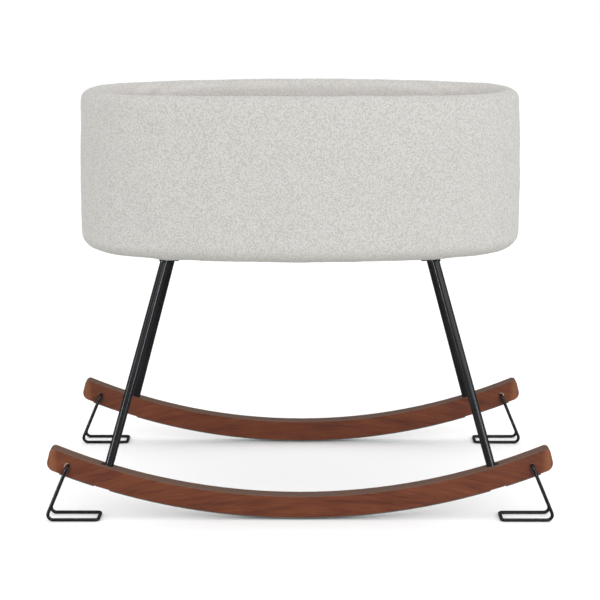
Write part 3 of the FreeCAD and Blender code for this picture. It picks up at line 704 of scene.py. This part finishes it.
class Section:
    """A wall's section, drawn as (margin, height) points with even spacing."""

    def __init__(self, margin: float, height: float, step: float) -> None:
        """Start the section at a point."""
        self.step = step
        self.points: list[tuple[float, float]] = [(margin, height)]
        self.marks: dict[str, int] = {}

    def line(self, margin: float, height: float) -> "Section":
        """Draw a straight run to a point, and return this section."""
        start = np.array(self.points[-1])
        end = np.array([margin, height])
        count = max(1, round(float(np.linalg.norm(end - start)) / self.step))
        for number in range(1, count + 1):
            self.points.append(tuple(start + (end - start) * number / count))
        return self

    def arc(self, margin: float, height: float, radius: float, first: float, last: float) -> "Section":
        """Draw an arc.

        Args:
            margin: Its centre's margin.
            height: Its centre's height.
            radius: Its radius.
            first: The angle where it starts, in degrees.
            last: The angle where it ends.

        Returns:
            This section.
        """
        count = max(2, round(abs(math.radians(last - first)) * radius / self.step))
        for number in range(1, count + 1):
            angle = math.radians(first + (last - first) * number / count)
            self.points.append((margin + radius * math.cos(angle), height + radius * math.sin(angle)))
        return self

    def mark(self, name: str) -> "Section":
        """Name the present end of the section."""
        self.marks[name] = len(self.points) - 1
        return self


def make_object(name: str, data: bpy.types.ID) -> bpy.types.Object:
    """Return a new linked object that holds a mesh, light or camera."""
    made = bpy.data.objects.new(name, data)
    bpy.context.scene.collection.objects.link(made)
    return made


def set_uv(mesh: bpy.types.Mesh, corners: np.ndarray) -> None:
    """Give a mesh its UV map, one pair in metres for each face corner."""
    layer = mesh.uv_layers.new(name="cloth")
    layer.data.foreach_set("uv", corners.astype(np.float32).ravel())


def loft(name: str, loops: Sequence[np.ndarray], closed: bool, around: np.ndarray) -> bpy.types.Object:
    """Join equal loops of points into quads.

    Args:
        name: The new object's name.
        loops: Loops of points, each a ring.
        closed: True if the last loop joins the first.
        around: Length along the ring at each of a loop's points, and at its end.

    Returns:
        An object whose UV map holds the lengths round the ring and across the loops.
    """
    rows, columns = len(loops), len(loops[0])
    vertices = np.concatenate(loops)
    last = rows if closed else rows - 1
    row, column = np.meshgrid(np.arange(last), np.arange(columns), indexing="ij")
    row, column = row.ravel(), column.ravel()
    up, right = (row + 1) % rows, (column + 1) % columns
    faces = np.stack([row * columns + column, row * columns + right, up * columns + right,
                      up * columns + column], axis=1)
    middles = [loop[0] for loop in loops] + [loops[0][0]]
    across = np.concatenate([[0.0], np.cumsum([np.linalg.norm(b - a) for a, b in zip(middles, middles[1:])])])
    u = np.stack([around[column], around[column + 1], around[column + 1], around[column]], axis=1)
    v = np.stack([across[row], across[row], across[row + 1], across[row + 1]], axis=1)
    mesh = bpy.data.meshes.new(name)
    mesh.from_pydata(vertices.tolist(), [], faces.tolist())
    set_uv(mesh, np.stack([u, v], axis=2).reshape(-1, 2))
    mesh.polygons.foreach_set("use_smooth", np.ones(len(mesh.polygons), bool))
    return make_object(name, mesh)


def tidy_normals(made: bpy.types.Object, merge: float = 0.0) -> None:
    """Merge doubled points if asked, and turn every face of a closed piece outwards."""
    work = bmesh.new()
    work.from_mesh(made.data)
    if merge:
        bmesh.ops.remove_doubles(work, verts=work.verts, dist=merge)
    bmesh.ops.recalc_face_normals(work, faces=work.faces)
    work.to_mesh(made.data)
    work.free()
    made.data.polygons.foreach_set("use_smooth", np.ones(len(made.data.polygons), bool))


def places_of(mesh: bpy.types.Mesh) -> np.ndarray:
    """Return a mesh's points as an array."""
    flat = np.zeros(len(mesh.vertices) * 3, np.float32)
    mesh.vertices.foreach_get("co", flat)
    return flat.reshape(-1, 3).astype(float)


def move_points(mesh: bpy.types.Mesh, places: np.ndarray) -> None:
    """Set a mesh's points from an array."""
    mesh.vertices.foreach_set("co", places.astype(np.float32).ravel())
    mesh.update()


def normals_of(mesh: bpy.types.Mesh) -> np.ndarray:
    """Return the normals at a mesh's points."""
    flat = np.zeros(len(mesh.vertices) * 3, np.float32)
    mesh.vertex_normals.foreach_get("vector", flat)
    return flat.reshape(-1, 3).astype(float)


def bake_modifiers(made: bpy.types.Object) -> None:
    """Apply an object's modifiers by taking its evaluated mesh."""
    graph = bpy.context.evaluated_depsgraph_get()
    mesh = bpy.data.meshes.new_from_object(made.evaluated_get(graph), preserve_all_data_layers=True,
                                           depsgraph=graph)
    made.modifiers.clear()
    made.data = mesh


def subdivide(made: bpy.types.Object, levels: int = 1) -> None:
    """Subdivide an object's mesh smoothly and keep the result."""
    modifier = made.modifiers.new("smooth", "SUBSURF")
    modifier.levels = modifier.render_levels = levels
    bake_modifiers(made)


CLOTH = {"quality": 5, "mass": 0.3, "tension_stiffness": 20, "compression_stiffness": 20,
         "shear_stiffness": 10, "bending_stiffness": 2.0, "use_pressure": True}


def puff(made: bpy.types.Object, held: np.ndarray, cap: float, pressure: float = 4.0,
         frames: int = 20) -> None:
    """Swell a closed piece like stuffed cloth and keep the shape.

    Args:
        made: The piece, with its points in place.
        held: For each point, 1 where the cloth is fastened and 0 where it is free.
        cap: The furthest that a point may move.
        pressure: The stuffing's pressure.
        frames: How long the cloth settles.
    """
    before = places_of(made.data)
    group = made.vertex_groups.new(name="held")
    for weight in sorted(set(np.round(held, 2).tolist()) - {0.0}):
        members = np.nonzero(np.abs(np.round(held, 2) - weight) < HAIR)[0].tolist()
        group.add(members, weight, "REPLACE")
    cloth = made.modifiers.new("cloth", "CLOTH")
    for setting, value in CLOTH.items():
        setattr(cloth.settings, setting, value)
    cloth.settings.uniform_pressure_force = pressure
    cloth.settings.vertex_group_mass = group.name
    cloth.settings.effector_weights.gravity = 0.0
    cloth.point_cache.frame_start, cloth.point_cache.frame_end = 1, frames
    scene = bpy.context.scene
    for number in range(1, frames + 1):
        scene.frame_set(number)
    bake_modifiers(made)
    scene.frame_set(1)
    made.vertex_groups.clear()
    travel = places_of(made.data) - before
    length = np.linalg.norm(travel, axis=1, keepdims=True)
    limited = travel * np.minimum(1.0, cap / np.maximum(length, HAIR))
    move_points(made.data, before + limited)


def ripple(places: np.ndarray, size: float, seed: float, octaves: int = 2) -> np.ndarray:
    """Return smooth noise, about -1 to 1, at some points.

    Args:
        places: The points.
        size: About how large its features are, in metres.
        seed: Chooses the noise.
        octaves: How many finer layers it has.
    """
    shift = Vector((seed * 7.3, seed * 3.1, seed * 5.7))
    fall_off, finer = 0.6, 2.0
    return np.array([noise.fractal(Vector(p) / size + shift, fall_off, finer, octaves) for p in places])


def push_out(made: bpy.types.Object, places: np.ndarray, out: np.ndarray) -> None:
    """Move a piece's points along their normals.

    Args:
        made: The piece.
        places: Its points.
        out: How far each one moves.
    """
    move_points(made.data, places + normals_of(made.data) * out[:, None])


def seat(path: np.ndarray, surface: bpy.types.Object, lift: float) -> np.ndarray:
    """Return a path's points, moved onto the nearest places of a surface.

    Args:
        path: The points.
        surface: The piece they are set on.
        lift: How far off it they end.
    """
    graph = bpy.context.evaluated_depsgraph_get()
    tree = BVHTree.FromObject(surface, graph)
    found = [tree.find_nearest(Vector(point)) for point in path]
    return np.array([place + normal * lift for place, normal, _, _ in found])


def finish_piece(made: bpy.types.Object, finish: Finish, body: str,
                 replaced: Iterable[str] = ()) -> None:
    """Dress a piece and hand it to the frame.

    Args:
        made: The piece.
        finish: What it is made of.
        body: The body that it rides on.
        replaced: The nodes that it stands for.
    """
    made.data.materials.clear()
    made.data.materials.append(finish.material)
    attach(made, body)
    if replaced:
        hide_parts(*replaced)
    log.info("%s: %d points", made.name, len(made.data.vertices))


# ------------------------------------------------------------------ repeated pieces


class Row:
    """A geometry-node tree that sets one small piece at even steps along a path."""

    INPUTS = {"Step": "Float", "Length": "Float", "Width": "Float", "Height": "Float",
              "Unevenness": "Float", "Seed": "Int", "Material": "Material"}

    def __init__(self, name: str) -> None:
        """Build the tree with named inputs for the sizes, the seed and the material."""
        self.tree = bpy.data.node_groups.new(name, "GeometryNodeTree")
        face = self.tree.interface
        face.new_socket("Path", in_out="INPUT", socket_type="NodeSocketGeometry")
        self.sockets: dict[str, str] = {}
        for label, kind in self.INPUTS.items():
            socket = face.new_socket(label, in_out="INPUT", socket_type=f"NodeSocket{kind}")
            self.sockets[label] = socket.identifier
        face.new_socket("Result", in_out="OUTPUT", socket_type="NodeSocketGeometry")
        self._wire()

    def _node(self, kind: str, settings: dict | None = None, inputs: dict | None = None) -> bpy.types.Node:
        """Add a node.

        Args:
            kind: The node's type.
            settings: Its properties.
            inputs: Values or links of its sockets, by name or number.
        """
        node = self.tree.nodes.new(kind)
        for key, setting in (settings or {}).items():
            setattr(node, key, setting)
        for key, value in (inputs or {}).items():
            if isinstance(value, bpy.types.NodeSocket):
                self.tree.links.new(value, node.inputs[key])
            else:
                node.inputs[key].default_value = value
        return node

    def _wire(self) -> None:
        """Link the path, the small rounded piece, its random turn and size, and the material."""
        given = self._node("NodeGroupInput").outputs
        points = self._node("GeometryNodeResampleCurve", {"mode": "LENGTH"},
                            {"Curve": given["Path"], "Length": given["Step"]})
        to_points = self._node("GeometryNodeCurveToPoints", {"mode": "EVALUATED"},
                               {"Curve": points.outputs["Curve"]})
        ball = self._node("GeometryNodeMeshUVSphere", None, {"Segments": 8, "Rings": 6, "Radius": 0.5})
        size = self._node("ShaderNodeCombineXYZ", None,
                          {"X": given["Width"], "Y": given["Height"], "Z": given["Length"]})
        body = self._node("GeometryNodeTransform", None,
                          {"Geometry": ball.outputs["Mesh"], "Scale": size.outputs["Vector"]})
        least = self._node("ShaderNodeMath", {"operation": "MULTIPLY"}, {0: given["Unevenness"], 1: -1.0})
        low, high = (self._node("ShaderNodeCombineXYZ", None, {axis: bound for axis in "XYZ"})
                     for bound in (least.outputs[0], given["Unevenness"]))
        turn = self._node("FunctionNodeRandomValue", {"data_type": "FLOAT_VECTOR"},
                          {0: low.outputs[0], 1: high.outputs[0], "Seed": given["Seed"]})
        placed = self._node("GeometryNodeInstanceOnPoints", None,
                            {"Points": to_points.outputs["Points"], "Instance": body.outputs["Geometry"],
                             "Rotation": to_points.outputs["Rotation"]})
        loosened = self._node("GeometryNodeRotateInstances", None,
                              {"Instances": placed.outputs["Instances"], "Rotation": turn.outputs[0]})
        real = self._node("GeometryNodeRealizeInstances", None, {"Geometry": loosened.outputs["Instances"]})
        smooth = self._node("GeometryNodeSetShadeSmooth", None, {"Geometry": real.outputs["Geometry"]})
        dressed = self._node("GeometryNodeSetMaterial", None,
                             {"Geometry": smooth.outputs["Geometry"], "Material": given["Material"]})
        self._node("NodeGroupOutput", None, {"Result": dressed.outputs["Geometry"]})

    def lay(self, name: str, path: np.ndarray, finish: Finish, step: float,
            size: tuple[float, float, float], unevenness: float, seed: int) -> bpy.types.Object:
        """Lay pieces along a closed path.

        Args:
            name: The new object's name.
            path: The path's points.
            finish: What the pieces are made of.
            step: Between pieces.
            size: Each piece's length, width and height.
            unevenness: How far each piece may turn, in radians.
            seed: Fixes the random turns.

        Returns:
            The pieces, as one plain mesh.
        """
        curve = bpy.data.curves.new(f"{name}_path", "CURVE")
        curve.dimensions = "3D"
        spline = curve.splines.new("POLY")
        spline.points.add(len(path) - 1)
        spline.points.foreach_set("co", np.column_stack([path, np.ones(len(path))]).ravel())
        spline.use_cyclic_u = True
        carrier = bpy.data.objects.new(name, curve)
        bpy.context.scene.collection.objects.link(carrier)
        modifier = carrier.modifiers.new("row", "NODES")
        modifier.node_group = self.tree
        values = dict(zip(self.INPUTS, (step, *size, unevenness, seed, finish.material)))
        for label, value in values.items():
            modifier[self.sockets[label]] = value
        graph = bpy.context.evaluated_depsgraph_get()
        mesh = bpy.data.meshes.new_from_object(carrier.evaluated_get(graph), depsgraph=graph)
        bpy.data.objects.remove(carrier)
        mesh.name = name
        return make_object(name, mesh)


# ------------------------------------------------------------------ basket


@dataclass
class Basket:
    """The upholstered basket: padded wall with its rolled rim, lining, dust cloth and seams."""

    # the padded wall's section
    wall: float = 40 * MM
    base_round: float = 30 * MM
    step: float = 6 * MM
    hidden_step: float = 24 * MM
    slack: float = 1.2 * MM
    lean_in: float = 3.5 * MM
    bulge: float = 1.2 * MM
    rim_turn: float = 42 * MM
    lip_round: float = 2 * MM
    hem_reach: float = 45 * MM
    hem_thick: float = 3.1 * MM
    ring_face: float = 18 * MM
    ring_foot: float = 7 * MM
    skim: float = 0.2 * MM
    # how the stuffed cloth settles
    swell: float = 2.6 * MM
    rim_drop: float = 4.0 * MM
    rear_rise: float = 4.2 * MM
    press_left: float = 3.0 * MM
    press_right: float = 2.5 * MM
    press_reach: float = 26 * MM
    press_shift: float = 19 * MM
    seam_width: float = 2.5 * MM
    seam_depth: float = 1.3 * MM
    # the lining
    lining_back: float = 24.2 * MM
    lining_face: float = 1.5 * MM
    lining_top: float = 0.8 * MM
    lining_floor: float = 2 * MM
    lining_edge: float = 3 * MM
    lining_foot: float = 8 * MM
    lining_swell: float = 2.0 * MM
    # the topstitch
    stitch_rise: float = 7 * MM
    stitch_lift: float = 0.25 * MM
    stitch_step: float = 5 * MM
    stitch_size: tuple[float, float, float] = (3.6 * MM, 0.9 * MM, 0.9 * MM)
    # the dust cloth and its staples
    dust_thick: float = 0.4 * MM
    dust_level: float = 0.35 * MM
    dust_sag: float = 1.2 * MM
    sag_from_edge: float = 60 * MM
    sag_half_length: float = 170 * MM
    staple_margin: float = 7 * MM
    staple_step: float = 42 * MM
    staple_size: tuple[float, float, float] = (10 * MM, 1.3 * MM, 0.7 * MM)

    def __post_init__(self) -> None:
        """Take the basket's size from the frame."""
        low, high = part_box("outer_cover")
        self.base, self.crest = low.z, high.z
        self.seam = self.crest - self.rim_turn
        self.plan = Plan((high.x - low.x) / 2, (high.y - low.y) / 2)
        self.stitching = Row("stitch_row")

    def section(self) -> Section:
        """Return the padded wall's section, from under the board, over the rim and back down inside."""
        rim = self.wall / 2
        rim_z = self.crest - rim
        tight = self.slack
        drawn = Section(self.hem_reach, self.base + self.skim, self.step)
        drawn.line(self.base_round, self.base + tight)
        drawn.arc(self.base_round - self.bulge, self.base + self.base_round, self.base_round - tight,
                  270, 180)
        drawn.line(tight + self.lean_in, rim_z)
        drawn.arc(rim + self.lean_in / 2, rim_z, rim - tight - self.lean_in / 2, 180, 0)
        drawn.line(self.wall - tight, self.seam + self.lip_round)
        drawn.arc(self.wall - tight - self.lip_round, self.seam + self.lip_round, self.lip_round, 0, -90)
        drawn.mark("lip")
        drawn.line(self.ring_face, self.seam)
        drawn.step = self.hidden_step
        drawn.line(self.ring_face, self.base + self.ring_foot)
        drawn.line(self.base_round, self.base + self.hem_thick)
        drawn.line(self.hem_reach, self.base + self.hem_thick)
        return drawn

    def relief(self, places: np.ndarray) -> np.ndarray:
        """Return how far the padded wall stands out at each point."""
        hollows = ripple(places, 90 * MM, 1.0) * 0.9 * MM
        dents = ripple(places, 30 * MM, 2.0) * 0.45 * MM
        curls = ripple(places, 8 * MM, 3.0, 1) * 0.35 * MM
        seam = -self.seam_depth * np.exp(-((places[:, 0] / self.seam_width) ** 2)) * (places[:, 1] > 0)
        return hollows + dents + curls + seam

    def settle(self, places: np.ndarray) -> np.ndarray:
        """Shape the rim, highest at the rear and lowest at both ends, and press the hem down.

        Args:
            places: The wall's points, which are moved.

        Returns:
            The same points.
        """
        roll = np.clip((places[:, 2] - self.crest + self.rim_turn) / self.rim_turn, 0, 1)
        share = np.clip((places[:, 2] - self.base) / (self.crest - self.base), 0, 1) ** 3
        places[:, 2] += (self.crest - places[:, 2].max()) * roll
        places[:, 2] += self.rear_rise * roll ** 3 * np.clip(places[:, 1] / self.plan.half_width * 2, 0, 1)
        places[:, 2] -= self.rim_drop * share * (places[:, 0] / self.plan.half_length) ** 2
        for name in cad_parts:
            if name.startswith("leg_plate_"):
                places[:, 2] -= self.pressed(places, name)
        return places

    def pressed(self, places: np.ndarray, plate: str) -> np.ndarray:
        """Return how far a leg plate presses the hem down at each point.

        Args:
            places: The wall's points.
            plate: The plate's node.
        """
        low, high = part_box(plate)
        end = np.array([math.copysign(max(abs(low.x), abs(high.x)), low.x),
                        math.copysign(max(abs(low.y), abs(high.y)), low.y)])
        end[0] -= math.copysign(self.press_shift, low.x)
        gap = (places[:, :2] - end) / (self.press_reach, self.press_reach * 0.6)
        near = np.exp(-(gap ** 2).sum(axis=1)) * (places[:, 2] < self.base + self.base_round)
        return (self.press_left if "left" in plate else self.press_right) * near

    def make_wall(self) -> bpy.types.Object:
        """Make the padded wall with its rolled rim, and return it."""
        section = self.section()
        loops = [self.plan.loop(margin, height) for margin, height in section.points[:-1]]
        wall = loft("basket_wall", loops, True, self.plan.around)
        tidy_normals(wall)
        rank = np.repeat(np.arange(len(loops)), self.plan.count)
        held = ((rank >= section.marks["lip"] - 1) | (rank <= 2)).astype(float)
        puff(wall, held, self.swell)
        subdivide(wall)
        places = self.settle(places_of(wall.data))
        move_points(wall.data, places)
        push_out(wall, places, self.relief(places) * (places[:, 2] < self.crest))
        finish_piece(wall, Finish.BOUCLE, STAND, ("outer_cover", "outer_padding", "rim_roll"))
        return wall

    def make_lining(self) -> None:
        """Make the padded lining: a cup with a soft wall and a thin floor."""
        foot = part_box("inner_lining")[0].z
        floor = foot + self.lining_floor
        top = self.seam + self.lining_top
        inside = self.wall - self.lining_face
        edge, bend = self.lining_edge, self.lining_foot
        drawn = Section(self.lining_back, foot + self.skim, self.hidden_step)
        drawn.line(self.lining_back, top)
        drawn.line(inside - edge, top)
        drawn.step = self.step
        drawn.arc(inside - edge, top - edge, edge, 90, 0)
        drawn.line(inside, floor + bend)
        drawn.arc(inside + bend, floor + bend, bend, 180, 270)
        loops = [self.plan.loop(margin, height) for margin, height in drawn.points]
        shares = np.linspace(0, 1, 9)[1:]
        loops += [self.plan.spine(share, drawn.points[-1][0], floor) for share in shares]
        under = [self.plan.spine(share, self.lining_back, foot + self.skim) for share in shares[::-1]]
        lining = loft("basket_lining", loops + under, True, self.plan.around)
        tidy_normals(lining, WELD)
        places = places_of(lining.data)
        held = ((places[:, 2] > top - 4 * MM) | (places[:, 2] < floor + 10 * MM)).astype(float)
        puff(lining, held, self.lining_swell)
        places = places_of(lining.data)
        push_out(lining, places, ripple(places, 70 * MM, 4.0) * 0.8 * MM * (places[:, 2] > floor + 12 * MM))
        finish_piece(lining, Finish.LINING, STAND, ("inner_lining", "inner_padding"))

    def make_seams(self, wall: bpy.types.Object) -> None:
        """Lay the topstitch on the wall's cloth, along the rim's inner seam."""
        path = seat(self.plan.loop(self.wall, self.seam + self.stitch_rise), wall, self.stitch_lift)
        stitches = self.stitching.lay("rim_stitches", path, Finish.THREAD, self.stitch_step,
                                      self.stitch_size, unevenness=0.12, seed=3)
        finish_piece(stitches, Finish.THREAD, STAND)

    def make_dust_cloth(self) -> None:
        """Make the dust cloth under the board, sagging a little between its edges."""
        low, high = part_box("dust_cover")
        margin = self.plan.half_length - high.x
        level = high.z - self.dust_level
        loops = [self.plan.spine(share, margin, level) for share in np.linspace(0, 1, 34)]
        cloth = loft("dust_cloth", loops, False, self.plan.around)
        tidy_normals(cloth, WELD)
        places = places_of(cloth.data)
        inner = Plan(self.plan.half_length - margin, self.plan.half_width - margin,
                     self.plan.side_radius - margin)
        edge = np.min(np.linalg.norm(places[:, None, :2] - inner.points[None, ::6], axis=2), axis=1)
        slope = np.clip(edge / self.sag_from_edge, 0, 1)
        pulled = slope * np.exp(-((places[:, 0] / self.sag_half_length) ** 4))
        places[:, 2] -= pulled * (self.dust_sag + ripple(places, 60 * MM, 6.0) * 0.5 * MM)
        move_points(cloth.data, places)
        thick = cloth.modifiers.new("thickness", "SOLIDIFY")
        thick.thickness = self.dust_thick
        thick.offset = 0.0
        bake_modifiers(cloth)
        finish_piece(cloth, Finish.SPUN_BOND, STAND, ("dust_cover",))
        self.make_staples(self.plan.loop(margin + self.staple_margin, low.z + self.dust_level))

    def make_staples(self, path: np.ndarray) -> None:
        """Lay the staples that hold the dust cloth along a path."""
        staples = self.stitching.lay("dust_cloth_staples", path, Finish.ZINC, self.staple_step,
                                     self.staple_size, unevenness=0.15, seed=8)
        finish_piece(staples, Finish.ZINC, STAND)

    def build(self) -> None:
        """Make every piece of the basket."""
        wall = self.make_wall()
        self.make_lining()
        self.make_seams(wall)
        self.make_dust_cloth()


# ------------------------------------------------------------------ mattress


@dataclass
class Mattress:
    """The loose mattress: a crowned pad with a piped edge above and below."""

    basket: Plan
    step: float = 7 * MM
    slack: float = 3 * MM
    corner: float = 6 * MM
    swell: float = 6 * MM
    quilt: float = 62 * MM
    quilt_depth: float = 3.4 * MM
    quilt_fade: float = 8 * MM
    piping: float = 2.2 * MM
    piping_sides: int = 8
    piping_inset: float = 6.5 * MM

    def __post_init__(self) -> None:
        """Take the mattress's size from the frame."""
        low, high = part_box("mattress_cover")
        self.low, self.high = low.z, high.z
        self.margin = self.basket.half_length - high.x

    def pillows(self, places: np.ndarray) -> np.ndarray:
        """Return how far the quilting pulls the top in at each point, least inside the diamonds."""
        step = math.pi / self.quilt
        first = np.abs(np.sin((places[:, 0] + places[:, 1]) * step))
        second = np.abs(np.sin((places[:, 0] - places[:, 1]) * step))
        top = np.clip((places[:, 2] - self.high + 14 * MM) / self.quilt_fade, 0, 1)
        return -self.quilt_depth * (1.0 - (first * second) ** 0.45) * top

    def make_pad(self) -> None:
        """Make the pad, swollen above its flat underside and quilted on top."""
        edge, corner = self.margin + self.slack, self.corner
        low, high = self.low + self.slack, self.high - self.slack
        drawn = Section(edge + corner, low, self.step)
        drawn.arc(edge + corner, low + corner, corner, 270, 180).line(edge, high - corner)
        drawn.arc(edge + corner, high - corner, corner, 180, 90)
        loops = [self.basket.loop(margin, height) for margin, height in drawn.points]
        shares = np.linspace(0, 1, 32)[1:]
        top = [self.basket.spine(share, edge + corner, high) for share in shares]
        bottom = [self.basket.spine(share, edge + corner, low) for share in shares[::-4]]
        pad = loft("mattress_pad", bottom + loops + top, False, self.basket.around)
        tidy_normals(pad, WELD)
        held = (places_of(pad.data)[:, 2] < low + 0.5 * MM).astype(float)
        puff(pad, held, self.swell)
        subdivide(pad)
        places = places_of(pad.data)
        push_out(pad, places, (ripple(places, 80 * MM, 5.0) * 0.8 * MM + self.pillows(places))
                 * (places[:, 2] > low + corner))
        places = places_of(pad.data)
        places[:, 2] = np.maximum(places[:, 2], self.low)
        move_points(pad.data, places)
        finish_piece(pad, Finish.TICKING, "mattress", ("mattress_cover", "mattress_core"))

    def make_piping(self, name: str, height: float) -> None:
        """Make a piped seam round the pad.

        Args:
            name: The new object's name.
            height: Where it lies.
        """
        path = self.basket.loop(self.margin + self.piping, height)
        inward = np.column_stack([self.basket.normals, np.zeros(self.basket.count)])
        angles = [2 * math.pi * number / self.piping_sides for number in range(self.piping_sides)]
        rings = [path + inward * math.cos(angle) * self.piping
                 + np.array([0, 0, math.sin(angle) * self.piping]) for angle in angles]
        cord = loft(name, rings, True, self.basket.around)
        tidy_normals(cord)
        finish_piece(cord, Finish.PIPING, "mattress")

    def build(self) -> None:
        """Make the pad and its piping."""
        self.make_pad()
        self.make_piping("mattress_piping_top", self.high - self.piping_inset)
        self.make_piping("mattress_piping_bottom", self.low + self.piping_inset)


# ------------------------------------------------------------------ studio


@dataclass(frozen=True)
class Lamp:
    """An area light: its name, place, target, size and power."""

    name: str
    place: tuple[float, float, float]
    target: tuple[float, float, float]
    size: tuple[float, float]
    power: float
    colour: Colour = (1, 1, 1)
    mirrored_only: bool = False

    def hang(self) -> None:
        """Add the light, facing its target."""
        data = bpy.data.lights.new(self.name, "AREA")
        data.shape = "RECTANGLE"
        data.size, data.size_y = self.size
        data.energy = self.power
        data.color = self.colour
        light = make_object(self.name, data)
        light.location = self.place
        aim = Vector(self.target) - Vector(self.place)
        light.rotation_mode = "QUATERNION"
        light.rotation_quaternion = aim.to_track_quat("-Z", "Y")
        light.visible_diffuse = not self.mirrored_only


COOL: Colour = (0.80, 0.89, 1.0)
LAMPS = (
    Lamp("front", (0.5, -3.2, 1.9), (0, 0, 0.55), (2.6, 1.8), 30.0),
    Lamp("right", (3.2, -1.9, 1.3), (0.1, 0, 0.6), (1.6, 2.0), 22.0, (0.95, 0.97, 1.0)),
    Lamp("left", (-3.2, -1.7, 1.3), (-0.1, 0, 0.6), (1.6, 2.0), 10.0),
    Lamp("top", (0.0, 0.0, 3.4), (0, 0, 0.3), (3.0, 3.0), 15.0),
    Lamp("left_strip", (-2.0, -1.2, 0.30), (0, -0.2, 0.30), (0.17, 0.9), 15.0, COOL, mirrored_only=True),
    Lamp("right_strip", (1.65, -1.75, 0.30), (0, -0.2, 0.30), (0.17, 0.9), 15.0, COOL, mirrored_only=True),
)


@dataclass
class Studio:
    """A pale floor, a white room, soft lights and the camera."""

    camera_place: tuple[float, float, float] = (0.0145, -3.016, 1.0027)
    pitch: float = 0.2113
    yaw: float = 0.005
    roll: float = 0.0012
    lens: float = 96.0
    sensor: float = 36.0
    sight: float = 200.0
    floor_reach: float = 60.0
    floor_tones: tuple[float, float] = (0.965, 0.975)
    cloud: float = 0.8
    glow: float = 1.13
    gloss: float = 0.11

    def make_camera(self) -> None:
        """Set the camera at the front, slightly above the rim."""
        data = bpy.data.cameras.new("camera")
        data.lens = self.lens
        data.sensor_width = self.sensor
        data.clip_end = self.sight
        camera = make_object("camera", data)
        level = Matrix.Rotation(math.pi / 2 - self.pitch, 4, "X")
        turn = Matrix.Rotation(self.yaw, 4, "Z")
        lean = Matrix.Rotation(-self.roll, 4, "Z")
        camera.matrix_world = Matrix.Translation(self.camera_place) @ turn @ level @ lean
        bpy.context.scene.camera = camera

    def make_floor(self) -> None:
        """Lay a wide pale floor."""
        mesh = bpy.data.meshes.new("floor")
        reach = self.floor_reach
        corners = [(-reach, -reach, 0), (reach, -reach, 0), (reach, reach, 0), (-reach, reach, 0)]
        mesh.from_pydata(corners, [], [(0, 1, 2, 3)])
        floor = make_object("floor", mesh)
        s = Shading("floor")
        duller, paler = ((tone,) * 3 for tone in self.floor_tones)
        tone = s.ramp(s.noise(s.coordinates(), self.cloud), (0.3, duller), (0.7, paler))
        floor.data.materials.append(s.set(Base_Color=tone, Roughness=0.9).material)
        floor.visible_glossy = False

    def make_world(self) -> None:
        """Fill the room with white light, dimmer where it is mirrored."""
        world = bpy.data.worlds.new("studio")
        bpy.context.scene.world = world
        world.use_nodes = True
        tree = world.node_tree
        tree.nodes.clear()
        path = tree.nodes.new("ShaderNodeLightPath")
        mirrored, lit = tree.nodes.new("ShaderNodeBackground"), tree.nodes.new("ShaderNodeBackground")
        for background, strength in ((mirrored, self.gloss), (lit, self.glow)):
            background.inputs["Color"].default_value = (1, 1, 1, 1)
            background.inputs["Strength"].default_value = strength
        chosen = tree.nodes.new("ShaderNodeMixShader")
        output = tree.nodes.new("ShaderNodeOutputWorld")
        tree.links.new(path.outputs["Is Glossy Ray"], chosen.inputs["Fac"])
        tree.links.new(lit.outputs[0], chosen.inputs[1])
        tree.links.new(mirrored.outputs[0], chosen.inputs[2])
        tree.links.new(chosen.outputs[0], output.inputs["Surface"])

    def build(self) -> None:
        """Make the camera, floor, room and lights."""
        bpy.context.scene.view_settings.view_transform = "Standard"
        self.make_camera()
        self.make_floor()
        self.make_world()
        for lamp in LAMPS:
            lamp.hang()


# ------------------------------------------------------------------ assembly


def main() -> None:
    """Set up the studio, dress the frame and build every piece round it."""
    Studio().build()
    dress_frame()
    basket = Basket()
    basket.build()
    Mattress(basket.plan).build()


if __name__ == "__main__":
    main()
